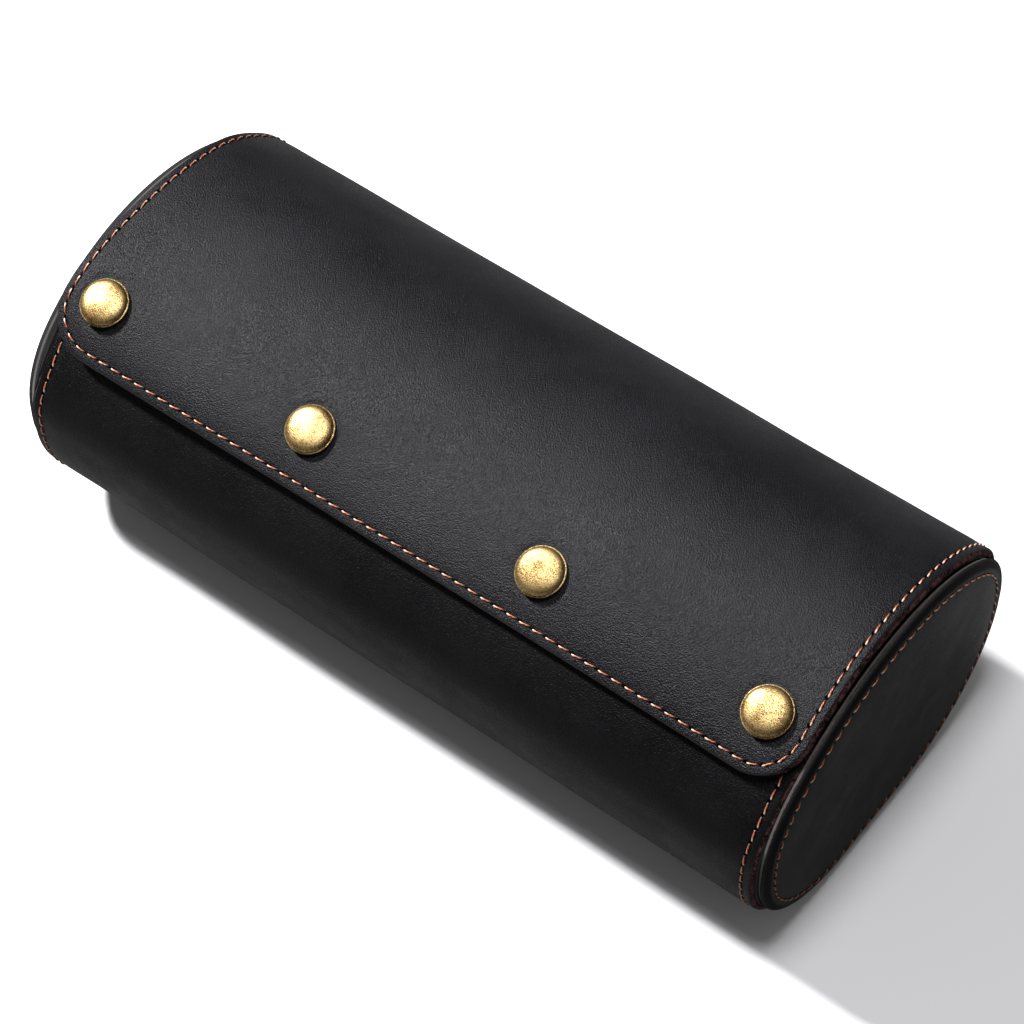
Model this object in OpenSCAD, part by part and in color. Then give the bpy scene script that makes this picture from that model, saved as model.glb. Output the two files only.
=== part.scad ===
// Watch roll for three watches, closed.
// X runs along the roll, the flap closes towards the front at -Y, and +Z is up.
// The origin is on the surface that the roll stands on, under its middle.

/* [Size] */
// Half of the depth of an end panel, front to back
half_depth = 50.5; // [48:0.5:54]
// Height of an end panel above its widest level
dome_h = 39.7; // [38:0.1:42]
// Depth of an end panel below its widest level
belly_h = 40.3; // [40:0.1:43]
// Distance between the inner faces of the two end panels
core_len = 219.6; // [200:0.2:235]
// Radius of the upper shoulders, front and back
shoulder_r = 33; // [31:0.5:35]
// Radius of the lower corners, front and back
belly_r = 37; // [34:0.5:38]

/* [Leather and board] */
// How far the wrap stands proud of the end panels
wrap_proud = 0.9; // [0.6:0.1:1.2]
// Thickness of the body leather
body_leather_t = 1.3; // [1:0.1:1.6]
// Thickness of the core board
core_board_t = 1.8; // [1.6:0.1:2.4]
// Thickness of the tray lining
tray_lining_t = 0.8; // [0.5:0.1:1.2]
// Thickness of the flap leather
flap_leather_t = 1.2; // [1:0.1:1.4]
// Thickness of the stiffener in the flap
flap_board_t = 0.7; // [0.5:0.1:0.9]
// Thickness of the flap lining
flap_lining_t = 0.6; // [0.4:0.1:0.8]
// Glue line between two bent layers
glue = 0.05; // [0.03:0.01:0.08]
// Gap between an end panel and the edge of the body leather
wrap_edge_gap = 0.7; // [0.5:0.1:2]

/* [Flap] */
// Outward direction at the fold behind the flap, in degrees above level
fold_angle = 25; // [20:1:35]
// Distance along the flap from the top of the dome to its front edge
flap_reach = 47.5; // [46:0.5:50]
// Distance along the flap from the top of the dome to the line where its front flexes
flex_reach = 8; // [4:0.5:12]
// Gap between an end panel and the side edge of the flap
flap_edge_gap = 0.5; // [0.5:0.1:1]
// Width of the hem turned under round the flap
hem_w = 4.5; // [3:0.5:4.5]
// Radius of the two front corners of the flap
flap_corner_r = 13; // [10:0.5:16]
// Air between the flap lining and the front wall
flap_air = 0.9; // [0.8:0.05:1.2]
// Distance from the top of the dome to the front wall's top edge
mouth_reach = 26; // [22:0.5:27]

/* [Press studs] */
// Distance along the flap from the top of the dome to the press studs
snap_reach = 32.5; // [32:0.5:34]
// Distance from the middle of the roll to the two inner studs
snap_inner_x = 34; // [30:0.5:38]
// Distance from the middle of the roll to the two outer studs
snap_outer_x = 97; // [90:0.5:98]
// Diameter of a domed cap
cap_d = 12.5; // [11:0.1:13]
// Height of a cap above the leather
cap_h = 2.5; // [2:0.1:3]

/* [End panels] */
// Thickness of an end panel at its rim
end_t = 2.7; // [2.4:0.1:3.2]
// Rounding of the rim
end_round = 1.8; // [0.8:0.1:2]
// How far the padded face stands above the rim
end_pad_h = 0.6; // [0.3:0.1:1]
// Width of the flat rim around the padded face
end_rim_w = 4.4; // [3.5:0.1:6]

/* [Inside] */
// Thickness of a covered divider
divider_t = 2.4; // [2:0.1:3]
// Height of the dividers above the widest level
divider_top = 22; // [14:0.5:24]
// Width of a watch pillow along the roll
pillow_w = 64; // [56:0.5:66]
// Depth of a watch pillow, front to back
pillow_d = 64; // [56:0.5:66]
// Height of a watch pillow
pillow_h = 52; // [44:0.5:54]

/* [Hidden] */
$fn = 96;

// Colours
leather_black = [0.15, 0.15, 0.16];
lining_grey = [0.30, 0.29, 0.28];
board_grey = [0.55, 0.52, 0.47];
antique_brass = [0.66, 0.55, 0.33];

// Oval of an end panel, as arcs whose centres are [y, z] from its widest level.
// Directions are in degrees, from level at the back over the top.
mid_z = belly_h + wrap_proud;
shoulder_y = half_depth - shoulder_r;
dome_r = (shoulder_y ^ 2 + dome_h ^ 2 - shoulder_r ^ 2) / (2 * (dome_h - shoulder_r));
dome_drop = dome_r - dome_h;
dome_dir = atan2(dome_drop, shoulder_y);
belly_y = half_depth - belly_r;
belly_z = belly_h - belly_r;
dome_c = [0, -dome_drop];
back_shoulder_c = [shoulder_y, 0];
front_shoulder_c = [-shoulder_y, 0];
back_belly_c = [belly_y, -belly_z];
front_belly_c = [-belly_y, -belly_z];

// Outer faces of the layers, measured outwards from the end panel's outline
board_out = wrap_proud - body_leather_t - glue;
tray_out = board_out - core_board_t - glue;
tray_in = tray_out - tray_lining_t;
flap_leather_in = wrap_proud - flap_leather_t;
flap_board_out = flap_leather_in - glue;
flap_lining_out = flap_board_out - flap_board_t - glue;
flap_lining_in = flap_lining_out - flap_lining_t;
hem_t = flap_leather_t + glue + flap_board_t;

// Front wall: it sinks below the flap and comes out again at the widest level
front_dome_r = dome_r + flap_lining_in - flap_air;
wrap_half_depth = half_depth + wrap_proud;
front_r = (front_dome_r ^ 2 - wrap_half_depth ^ 2 - dome_drop ^ 2)
    / (2 * (front_dome_r - wrap_half_depth));
front_c = [front_r - wrap_half_depth, 0];
front_dir = 180 - atan2(dome_drop, wrap_half_depth - front_r);

// Largest turn between two points of a bent sheet
arc_step = 3;

// Turn of an arc of radius r along a run of its length
function turn(run, r) = run / r * 180 / PI;

// Directions at the ends of the sheets
flap_dome_r = dome_r + wrap_proud;
flap_shoulder_r = shoulder_r + wrap_proud;
dome_run = flap_dome_r * (90 - dome_dir) * PI / 180;
lip_dir = 180 - dome_dir + turn(flap_reach - dome_run, flap_shoulder_r);
flex_dir = 90 + turn(flex_reach, flap_dome_r);
mouth_dir = 90 + turn(mouth_reach, flap_dome_r);
snap_dir = 90 + turn(snap_reach, flap_dome_r);
joint_gap = 0.3;
fold_gap = turn(joint_gap / 2, flap_shoulder_r);
flex_gap = turn(joint_gap / 2, flap_dome_r);
board_stop = 3;
fold_stop = turn(board_stop, flap_shoulder_r);
flex_stop = turn(board_stop, flap_dome_r);

// How far a cut reaches past what it cuts
through = 1;

// Lengths of the sheets, and how far the inner layers are set in from the leather's edge
body_len = core_len - 2 * wrap_edge_gap;
flap_len = core_len - 2 * flap_edge_gap;
lining_inset = 0.5;
hem_clear = 0.1;
board_inset = hem_w + hem_clear;

// Middle of the flap's corner circles, on the radius through the corner
corner_dir = 90 + turn(flap_reach - flap_corner_r / 2, flap_dome_r);
lip_point = front_shoulder_c + flap_shoulder_r * [cos(lip_dir), sin(lip_dir)];
lip_along = (lip_point - dome_c) * [-sin(corner_dir), cos(corner_dir)];

// Press studs, with the clearance of each hole round what goes through it
snap_x = [-snap_outer_x, -snap_inner_x, snap_inner_x, snap_outer_x];
cap_rim_r = 0.45;
post_r = 1.6;
post_clear = 0.05;
post_hole_r = post_r + post_clear;
flare_r = 2.3;
flare_t = 0.25;
socket_r = 5.2;
socket_t = 1.7;
socket_plate_t = 0.4;
socket_mouth_r = 3.3;
socket_edge_r = 0.3;
plate_clear = 0.2;
socket_hole_r = socket_r + plate_clear;
socket_sag = 0.25;
socket_top = dome_r + flap_leather_in - socket_sag;
stud_flange_r = 4.3;
stud_flange_t = 0.6;
stud_r = 2.1;
stud_h = 1.9;
stud_bore_h = 1.3;
stud_hole_r = stud_flange_r + plate_clear;
stud_seat = front_dome_r - body_leather_t - glue;
rivet_r = 1.2;
rivet_clear = 0.03;
rivet_hole_r = rivet_r + rivet_clear;
rivet_head_r = 4;
rivet_head_t = 0.6;
rivet_recess_depth = 0.85;
rivet_end_gap = 0.1;
rivet_head_top = stud_seat - core_board_t + rivet_recess_depth;
rivet_len = stud_seat - rivet_head_top + stud_bore_h - rivet_end_gap;
rivet_head_clear = 0.1;
rivet_recess_r = rivet_head_r + rivet_head_clear;

// End panels
end_leather_t = 1.1;
end_lining_t = 0.6;
end_pocket = end_t - end_leather_t;
pad_round_share = 0.9;
end_pad_round = end_pad_h * pad_round_share;
round_step = 30;

// Dividers and pillows
divider_x = core_len / 6;
divider_clear = 0.1;
divider_off = tray_in - divider_clear;
compartment_x = (core_len / 2 + divider_x + divider_t / 2) / 2;
tray_floor = mid_z - belly_h - tray_in;
pillow_clear = 0.3;
pillow_sides = 36;
pillow_rings = 18;
pillow_square = 2.4;
pillow_end_square = 7;
pillow_side_square = 5;
pillow_crown = 0.07;
pillow_seam_at = 0.84;
pillow_seam_w = 0.05;
pillow_seam_depth = 0.035;

// Points of an arc round the centre c, from direction a0 to a1
function arc(c, r, a0, a1, first = 0, drop = 0) =
    let (n = ceil((a1 - a0) / arc_step))
    [for (i = [first:n - drop])
        let (a = a0 + (a1 - a0) * i / n)
        c + r * [cos(a), sin(a)]];

function reversed(list) = [for (i = [len(list) - 1:-1:0]) list[i]];

// Face of a trough layer, off outside the end panels, from its front lip to the fold
function trough_path(off) =
    let (sink = off - wrap_proud)
    concat(
        arc(dome_c, front_dome_r + sink, mouth_dir, front_dir),
        arc(front_c, front_r + sink, front_dir, 180, 1),
        arc(front_belly_c, belly_r + off, 180, 270),
        arc(back_belly_c, belly_r + off, 270, 360),
        arc(back_shoulder_c, shoulder_r + off, 0, fold_angle - fold_gap)
    );

// Face of a flap layer, from direction a0 at the back to a1 on the dome
function flap_top_path(off, a0, a1) =
    concat(
        arc(back_shoulder_c, shoulder_r + off, a0, dome_dir),
        arc(dome_c, dome_r + off, dome_dir, a1, 1)
    );

// Face of a flap layer, from direction a0 on the dome to a1 at the lip
function flap_front_path(off, a0, a1) =
    concat(
        arc(dome_c, dome_r + off, a0, 180 - dome_dir),
        arc(front_shoulder_c, shoulder_r + off, 180 - dome_dir, a1, 1)
    );

// Oval outline of the end panels, off outside it
function oval_path(off) =
    concat(
        arc(dome_c, dome_r + off, dome_dir, 180 - dome_dir),
        arc(front_shoulder_c, shoulder_r + off, 180 - dome_dir, 180, 1),
        arc(front_belly_c, belly_r + off, 180, 270),
        arc(back_belly_c, belly_r + off, 270, 360),
        arc(back_shoulder_c, shoulder_r + off, 0, dome_dir, 0, 1)
    );

// Stands an outline, drawn as [y, z] from the widest level, across the roll
module across(len, center = true)
    translate([0, 0, mid_z])
        rotate([90, 0, 90])
            linear_extrude(len, center = center)
                children();

// Sheet between an outer face and an inner face
module sheet(outer, inner, len)
    across(len)
        polygon(concat(outer, reversed(inner)));

// One layer of the trough
module trough_layer(off, t, len)
    sheet(trough_path(off), trough_path(off - t), len);

// One layer of the flap, from the fold to the line where the flap flexes
module flap_top_layer(off, t, a0, a1, inset)
    sheet(flap_top_path(off, a0, a1), flap_top_path(off - t, a0, a1), flap_len - 2 * inset);

// One layer of the flap, from direction a0 to its lip, set in from the leather's edge
module flap_front_layer(off, t, a0, inset) {
    a1 = lip_dir - turn(inset, flap_shoulder_r);
    difference() {
        sheet(flap_front_path(off, a0, a1), flap_front_path(off - t, a0, a1), flap_len - 2 * inset);
        for (side = [-1, 1])
            corner_cut(side, flap_corner_r - inset);
    }
}

// What a round corner takes off a layer of the flap
module corner_cut(side, r) {
    reach = 2 * flap_corner_r;
    mirror([side < 0 ? 1 : 0, 0, 0])
        on_dome(flap_len / 2 - flap_corner_r, corner_dir, dome_r)
            translate([0, flap_corner_r - lip_along, 0])
                difference() {
                    translate([0, -reach, -reach / 4])
                        cube([reach, reach, reach / 2]);
                    cylinder(r = r, h = reach, center = true);
                }
}

// Stands its children on a radius of the dome, with Z outwards and -Y towards the lip
module on_dome(x, dir, r)
    translate([x, 0, mid_z - dome_drop])
        rotate([dir - 90, 0, 0])
            translate([0, 0, r])
                children();

module at_snap(k, r)
    on_dome(snap_x[k], snap_dir, r)
        children();

// Round holes on the radii of the four press studs
module snap_holes(hole_r, r, h)
    for (k = [0:3])
        at_snap(k, r)
            cylinder(r = hole_r, h = h);

// Slab with the oval of the end panels, off outside it
module oval_slab(off, t)
    across(t, false)
        polygon(oval_path(off));

// The same slab with one round edge
module round_slab(off, t, round)
    hull()
        for (a = [0:round_step:90])
            oval_slab(off - round * (1 - cos(a)), t - round * (1 - sin(a)));

module body_leather()
    color(leather_black)
        difference() {
            trough_layer(wrap_proud, body_leather_t, body_len);
            snap_holes(stud_hole_r, stud_seat - through, body_leather_t + 2 * through);
        }

module core_board()
    color(board_grey)
        difference() {
            trough_layer(board_out, core_board_t, core_len);
            snap_holes(rivet_hole_r, stud_seat - 2 * core_board_t, 3 * core_board_t);
            snap_holes(rivet_recess_r, rivet_head_top - core_board_t, core_board_t);
        }

module tray_lining()
    color(lining_grey)
        trough_layer(tray_out, tray_lining_t, core_len);

// A covered wall across the trough, with a straight top edge
module divider(x) {
    front_wall_r = front_dome_r + divider_off - wrap_proud;
    top_front = 180 - asin((divider_top + dome_drop) / front_wall_r);
    top_back = asin(divider_top / (shoulder_r + divider_off));
    outline = concat(
        arc(dome_c, front_wall_r, top_front, front_dir),
        arc(front_c, front_r + divider_off - wrap_proud, front_dir, 180, 1),
        arc(front_belly_c, belly_r + divider_off, 180, 270),
        arc(back_belly_c, belly_r + divider_off, 270, 360),
        arc(back_shoulder_c, shoulder_r + divider_off, 0, top_back)
    );
    color(lining_grey)
        translate([x, 0, 0])
            across(divider_t)
                polygon(outline);
}

// Places an end panel's pieces on the left or the right
module at_end(side)
    mirror([side < 0 ? 1 : 0, 0, 0])
        translate([core_len / 2, 0, 0])
            children();

// Leather turned over the edge of the board, with a raised padded face
module end_leather(side)
    color(leather_black)
        at_end(side)
            difference() {
                union() {
                    round_slab(0, end_t, end_round);
                    round_slab(-end_rim_w, end_t + end_pad_h, end_pad_round);
                }
                translate([-through, 0, 0])
                    oval_slab(-end_leather_t, end_pocket + through);
            }

module end_board(side)
    color(board_grey)
        at_end(side)
            translate([end_lining_t, 0, 0])
                oval_slab(-end_leather_t - glue, end_pocket - end_lining_t);

module end_lining(side)
    color(lining_grey)
        at_end(side)
            oval_slab(-end_leather_t - glue, end_lining_t);

// The flap's leather is turned under at its edges, to a hem that frames the stiffener
module flap_top_leather()
    color(leather_black)
        difference() {
            flap_top_layer(wrap_proud, hem_t, fold_angle + fold_gap, flex_dir - flex_gap, 0);
            flap_top_layer(flap_leather_in, hem_t, fold_angle - fold_stop, flex_dir + flex_stop, hem_w);
        }

module flap_top_board()
    color(board_grey)
        flap_top_layer(flap_board_out, flap_board_t, fold_angle + fold_stop, flex_dir - flex_stop,
            board_inset);

module flap_top_lining()
    color(lining_grey)
        flap_top_layer(flap_lining_out, flap_lining_t, fold_angle + fold_gap, flex_dir - flex_gap,
            lining_inset);

module flap_front_leather()
    color(leather_black)
        difference() {
            flap_front_layer(wrap_proud, hem_t, flex_dir + flex_gap, 0);
            flap_front_layer(flap_leather_in, hem_t, flex_dir - flex_stop, hem_w);
            snap_holes(post_hole_r, dome_r - hem_t, 2 * hem_t);
        }

module flap_front_board()
    color(board_grey)
        difference() {
            flap_front_layer(flap_board_out, flap_board_t, flex_dir + flex_stop, board_inset);
            snap_holes(socket_hole_r, dome_r + flap_lining_in - through, wrap_proud + 2 * through);
        }

module flap_front_lining()
    color(lining_grey)
        difference() {
            flap_front_layer(flap_lining_out, flap_lining_t, flex_dir + flex_gap, lining_inset);
            snap_holes(socket_hole_r, dome_r + flap_lining_in - through, wrap_proud + 2 * through);
        }

// Domed cap on the flap, with the post that is flared in the socket
module snap_cap(k) {
    rim_x = cap_d / 2 - cap_rim_r;
    rise = cap_h - cap_rim_r;
    dome = (rim_x ^ 2 + rise ^ 2 - cap_rim_r ^ 2) / (2 * (rise - cap_rim_r));
    edge_x = rim_x * dome / (dome - cap_rim_r);
    post_end = flap_dome_r - socket_top + socket_plate_t;
    color(antique_brass)
        at_snap(k, flap_dome_r) {
            rotate_extrude() {
                intersection() {
                    translate([0, cap_h - dome])
                        circle(dome);
                    translate([0, cap_rim_r])
                        square([edge_x, rise]);
                }
                square([rim_x, cap_rim_r]);
                translate([rim_x, cap_rim_r])
                    circle(cap_rim_r);
            }
            translate([0, 0, -post_end])
                cylinder(r = post_r, h = post_end);
            translate([0, 0, -post_end - flare_t])
                cylinder(r = flare_r, h = flare_t);
        }
}

// Ring under the flap that closes over the stud
module snap_socket(k)
    color(antique_brass)
        at_snap(k, socket_top)
            difference() {
                rotate_extrude() {
                    translate([0, -socket_t])
                        square([socket_r - socket_edge_r, socket_t]);
                    translate([0, socket_edge_r - socket_t])
                        square([socket_r, socket_t - socket_edge_r]);
                    translate([socket_r - socket_edge_r, socket_edge_r - socket_t])
                        circle(socket_edge_r);
                }
                translate([0, 0, -2 * socket_t])
                    cylinder(r = socket_mouth_r, h = 2 * socket_t - socket_plate_t);
                translate([0, 0, -socket_t])
                    cylinder(r = post_hole_r, h = 2 * socket_t);
            }

// Flanged stud on the front wall, with a round nose and a bore for its rivet
module snap_stud(k)
    color(antique_brass)
        at_snap(k, stud_seat)
            difference() {
                rotate_extrude() {
                    square([stud_flange_r, stud_flange_t]);
                    square([stud_r, stud_flange_t + stud_h - stud_r / 2]);
                    intersection() {
                        translate([0, stud_flange_t + stud_h - stud_r])
                            circle(stud_r);
                        square([stud_r, stud_flange_t + stud_h]);
                    }
                }
                translate([0, 0, -through])
                    cylinder(r = rivet_hole_r, h = through + stud_bore_h);
            }

// Rivet that holds the stud, with its head sunk in the board from inside
module snap_post(k)
    color(antique_brass)
        at_snap(k, rivet_head_top) {
            translate([0, 0, -rivet_head_t])
                cylinder(r = rivet_head_r, h = rivet_head_t);
            cylinder(r = rivet_r, h = rivet_len);
        }

// Rounded power curve of a direction: 2 gives a circle, more gives a squarer shape
function bow(v, square_by) = sign(v) * pow(abs(v), 2 / square_by);

// Swell of the pillow at u, from -1 to 1 along it: crowned, and drawn in at its two seams
function pillow_swell(u) =
    1 - pillow_crown * u ^ 2
    - pillow_seam_depth * exp(-((abs(u) - pillow_seam_at) / pillow_seam_w) ^ 2);

// Watch pillow: a soft oval block, crowned, with its ends drawn in
module pillow(x) {
    rings = [for (j = [1:pillow_rings - 1])
        let (a = 180 * j / pillow_rings,
             u = -bow(cos(a), pillow_end_square),
             s = bow(sin(a), pillow_side_square) * pillow_swell(u))
        [for (i = [0:pillow_sides - 1])
            let (b = 360 * i / pillow_sides)
            [u * pillow_w / 2,
             s * pillow_d / 2 * bow(cos(b), pillow_square),
             s * pillow_h / 2 * bow(sin(b), pillow_square)]]];
    last = (pillow_rings - 1) * pillow_sides;
    points = concat([for (ring = rings) each ring], [[-pillow_w / 2, 0, 0], [pillow_w / 2, 0, 0]]);
    faces = concat(
        [for (j = [0:pillow_rings - 3], i = [0:pillow_sides - 1], half = [0:1])
            let (n = (i + 1) % pillow_sides,
                 p = j * pillow_sides,
                 q = p + pillow_sides)
            half == 0 ? [p + i, p + n, q + n] : [p + i, q + n, q + i]],
        [for (i = [0:pillow_sides - 1]) [last, (i + 1) % pillow_sides, i]],
        [for (i = [0:pillow_sides - 1])
            let (p = last - pillow_sides)
            [last + 1, p + i, p + (i + 1) % pillow_sides]]
    );
    color(lining_grey)
        translate([x, 0, tray_floor + pillow_clear + pillow_h / 2])
            polyhedron(points, faces);
}

body_leather();
core_board();
tray_lining();
divider(-divider_x);  // divider_left
divider(divider_x);  // divider_right
end_leather(-1);  // end_leather_left
end_board(-1);  // end_board_left
end_lining(-1);  // end_lining_left
end_leather(1);  // end_leather_right
end_board(1);  // end_board_right
end_lining(1);  // end_lining_right
snap_stud(0);  // snap_stud_1
snap_stud(1);  // snap_stud_2
snap_stud(2);  // snap_stud_3
snap_stud(3);  // snap_stud_4
snap_post(0);  // snap_post_1
snap_post(1);  // snap_post_2
snap_post(2);  // snap_post_3
snap_post(3);  // snap_post_4
flap_top_leather();
flap_top_board();
flap_top_lining();
flap_front_leather();
flap_front_board();
flap_front_lining();
snap_cap(0);  // snap_cap_1
snap_cap(1);  // snap_cap_2
snap_cap(2);  // snap_cap_3
snap_cap(3);  // snap_cap_4
snap_socket(0);  // snap_socket_1
snap_socket(1);  // snap_socket_2
snap_socket(2);  // snap_socket_3
snap_socket(3);  // snap_socket_4
pillow(-compartment_x);  // pillow_left
pillow(0);  // pillow_middle
pillow(compartment_x);  // pillow_right
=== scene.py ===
"""Looks of a watch roll: bent leather, stitching, press studs, end panels and pillows.

Lengths in the classes are in millimetres and directions in degrees; meshes are made in metres.
"""

import logging
import math
from dataclasses import dataclass, field
from enum import Enum
from functools import cache, cached_property, reduce
from typing import Callable, Sequence

import bmesh
import bpy
import numpy as np
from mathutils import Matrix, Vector


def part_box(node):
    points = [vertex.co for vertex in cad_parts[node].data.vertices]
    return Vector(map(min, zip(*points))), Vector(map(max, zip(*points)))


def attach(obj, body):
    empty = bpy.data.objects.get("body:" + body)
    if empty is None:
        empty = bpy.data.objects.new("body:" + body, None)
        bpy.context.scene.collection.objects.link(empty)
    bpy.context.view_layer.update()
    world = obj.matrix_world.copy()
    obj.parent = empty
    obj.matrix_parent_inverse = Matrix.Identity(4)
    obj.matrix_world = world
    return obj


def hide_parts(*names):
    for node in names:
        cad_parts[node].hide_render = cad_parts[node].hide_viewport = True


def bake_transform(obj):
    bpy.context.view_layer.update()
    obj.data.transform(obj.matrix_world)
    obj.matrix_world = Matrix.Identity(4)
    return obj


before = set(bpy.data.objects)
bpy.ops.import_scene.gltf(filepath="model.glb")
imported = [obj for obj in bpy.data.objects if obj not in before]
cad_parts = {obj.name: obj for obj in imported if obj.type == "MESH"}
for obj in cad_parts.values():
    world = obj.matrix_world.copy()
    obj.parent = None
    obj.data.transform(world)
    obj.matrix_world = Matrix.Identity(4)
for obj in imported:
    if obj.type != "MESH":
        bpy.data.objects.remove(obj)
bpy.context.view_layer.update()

LOG = logging.getLogger("watch_roll")
MM = 0.001
SIDES = ((-1, "left"), (1, "right"))
Numbers = np.ndarray
Socket = bpy.types.NodeSocket
Material = bpy.types.Material
Object = bpy.types.Object


class Body(str, Enum):
    """Rigid bodies that the pieces ride on."""

    TROUGH = "body"
    FLAP_TOP = "flap_top"
    FLAP_FRONT = "flap_front"


class Slot(str, Enum):
    """Material slots of the record."""

    LEATHER = "leather"
    BOARD = "board"
    LINING = "lining"
    BRASS = "brass"
    STUD_BRASS = "stud_brass"
    PILLOW = "pillow"


# Outline of the roll.


@dataclass(frozen=True)
class Arc:
    """Arc of an outline, run through with the direction growing."""

    y: float
    z: float
    radius: float
    start: float
    end: float

    @property
    def length(self) -> float:
        """Length of the arc."""
        return math.radians(self.end - self.start) * self.radius

    def at(self, run: Numbers) -> tuple[Numbers, Numbers, Numbers, Numbers]:
        """Places along the arc.

        Args:
            run: Lengths from the start of the arc.

        Returns:
            y, z, and the two parts of the outward normal.
        """
        turn = np.radians(self.start) + run / self.radius
        ny, nz = np.cos(turn), np.sin(turn)
        return self.y + self.radius * ny, self.z + self.radius * nz, ny, nz


@dataclass(frozen=True)
class Flat:
    """Straight stretch of an outline, with its outward side to the right."""

    y0: float
    z0: float
    y1: float
    z1: float

    @property
    def length(self) -> float:
        """Length of the stretch."""
        return math.hypot(self.y1 - self.y0, self.z1 - self.z0)

    def at(self, run: Numbers) -> tuple[Numbers, Numbers, Numbers, Numbers]:
        """Places along the stretch.

        Args:
            run: Lengths from its start.

        Returns:
            y, z, and the two parts of the outward normal.
        """
        dy = (self.y1 - self.y0) / self.length
        dz = (self.z1 - self.z0) / self.length
        one = np.ones_like(run)
        return self.y0 + run * dy, self.z0 + run * dz, one * dz, -one * dy


@dataclass(frozen=True)
class Outline:
    """Chain of arcs and flats seen from the roll's end."""

    parts: tuple[Arc | Flat, ...]
    mid_z: float

    @property
    def length(self) -> float:
        """Length of the whole chain."""
        return sum(part.length for part in self.parts)

    def run_to(self, index: int, direction: float) -> float:
        """Length from the start to a direction on one arc.

        Args:
            index: Number of the arc in the chain.
            direction: Direction on that arc.

        Returns:
            The length.
        """
        arc = self.parts[index]
        before = sum(part.length for part in self.parts[:index])
        return before + math.radians(direction - arc.start) * arc.radius

    def frame(self, run: Numbers) -> tuple[Numbers, Numbers, Numbers, Numbers]:
        """Places and outward normals at lengths along the chain.

        Args:
            run: Lengths from the start. Past either end the last part goes on.

        Returns:
            y, z, and the two parts of the outward normal.
        """
        run = np.asarray(run, float)
        made = [np.zeros_like(run) for _ in range(4)]
        begun = 0.0
        for number, part in enumerate(self.parts):
            first, last = number == 0, number == len(self.parts) - 1
            here = np.ones(run.shape, bool)
            if not first:
                here &= run >= begun
            if not last:
                here &= run < begun + part.length
            for into, values in zip(made, part.at(run[here] - begun)):
                into[here] = values
            begun += part.length
        made[1] = made[1] + self.mid_z
        return made[0], made[1], made[2], made[3]

    def place(self, x: Numbers, run: Numbers, lift: Numbers | float) -> Numbers:
        """Points at a height above the outline.

        Args:
            x: Places across the roll.
            run: Lengths along the outline.
            lift: Heights along the outward normal.

        Returns:
            An array of points in millimetres.
        """
        y, z, ny, nz = self.frame(run)
        return np.stack([np.asarray(x, float) + 0 * y, y + lift * ny, z + lift * nz], -1)


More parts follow.
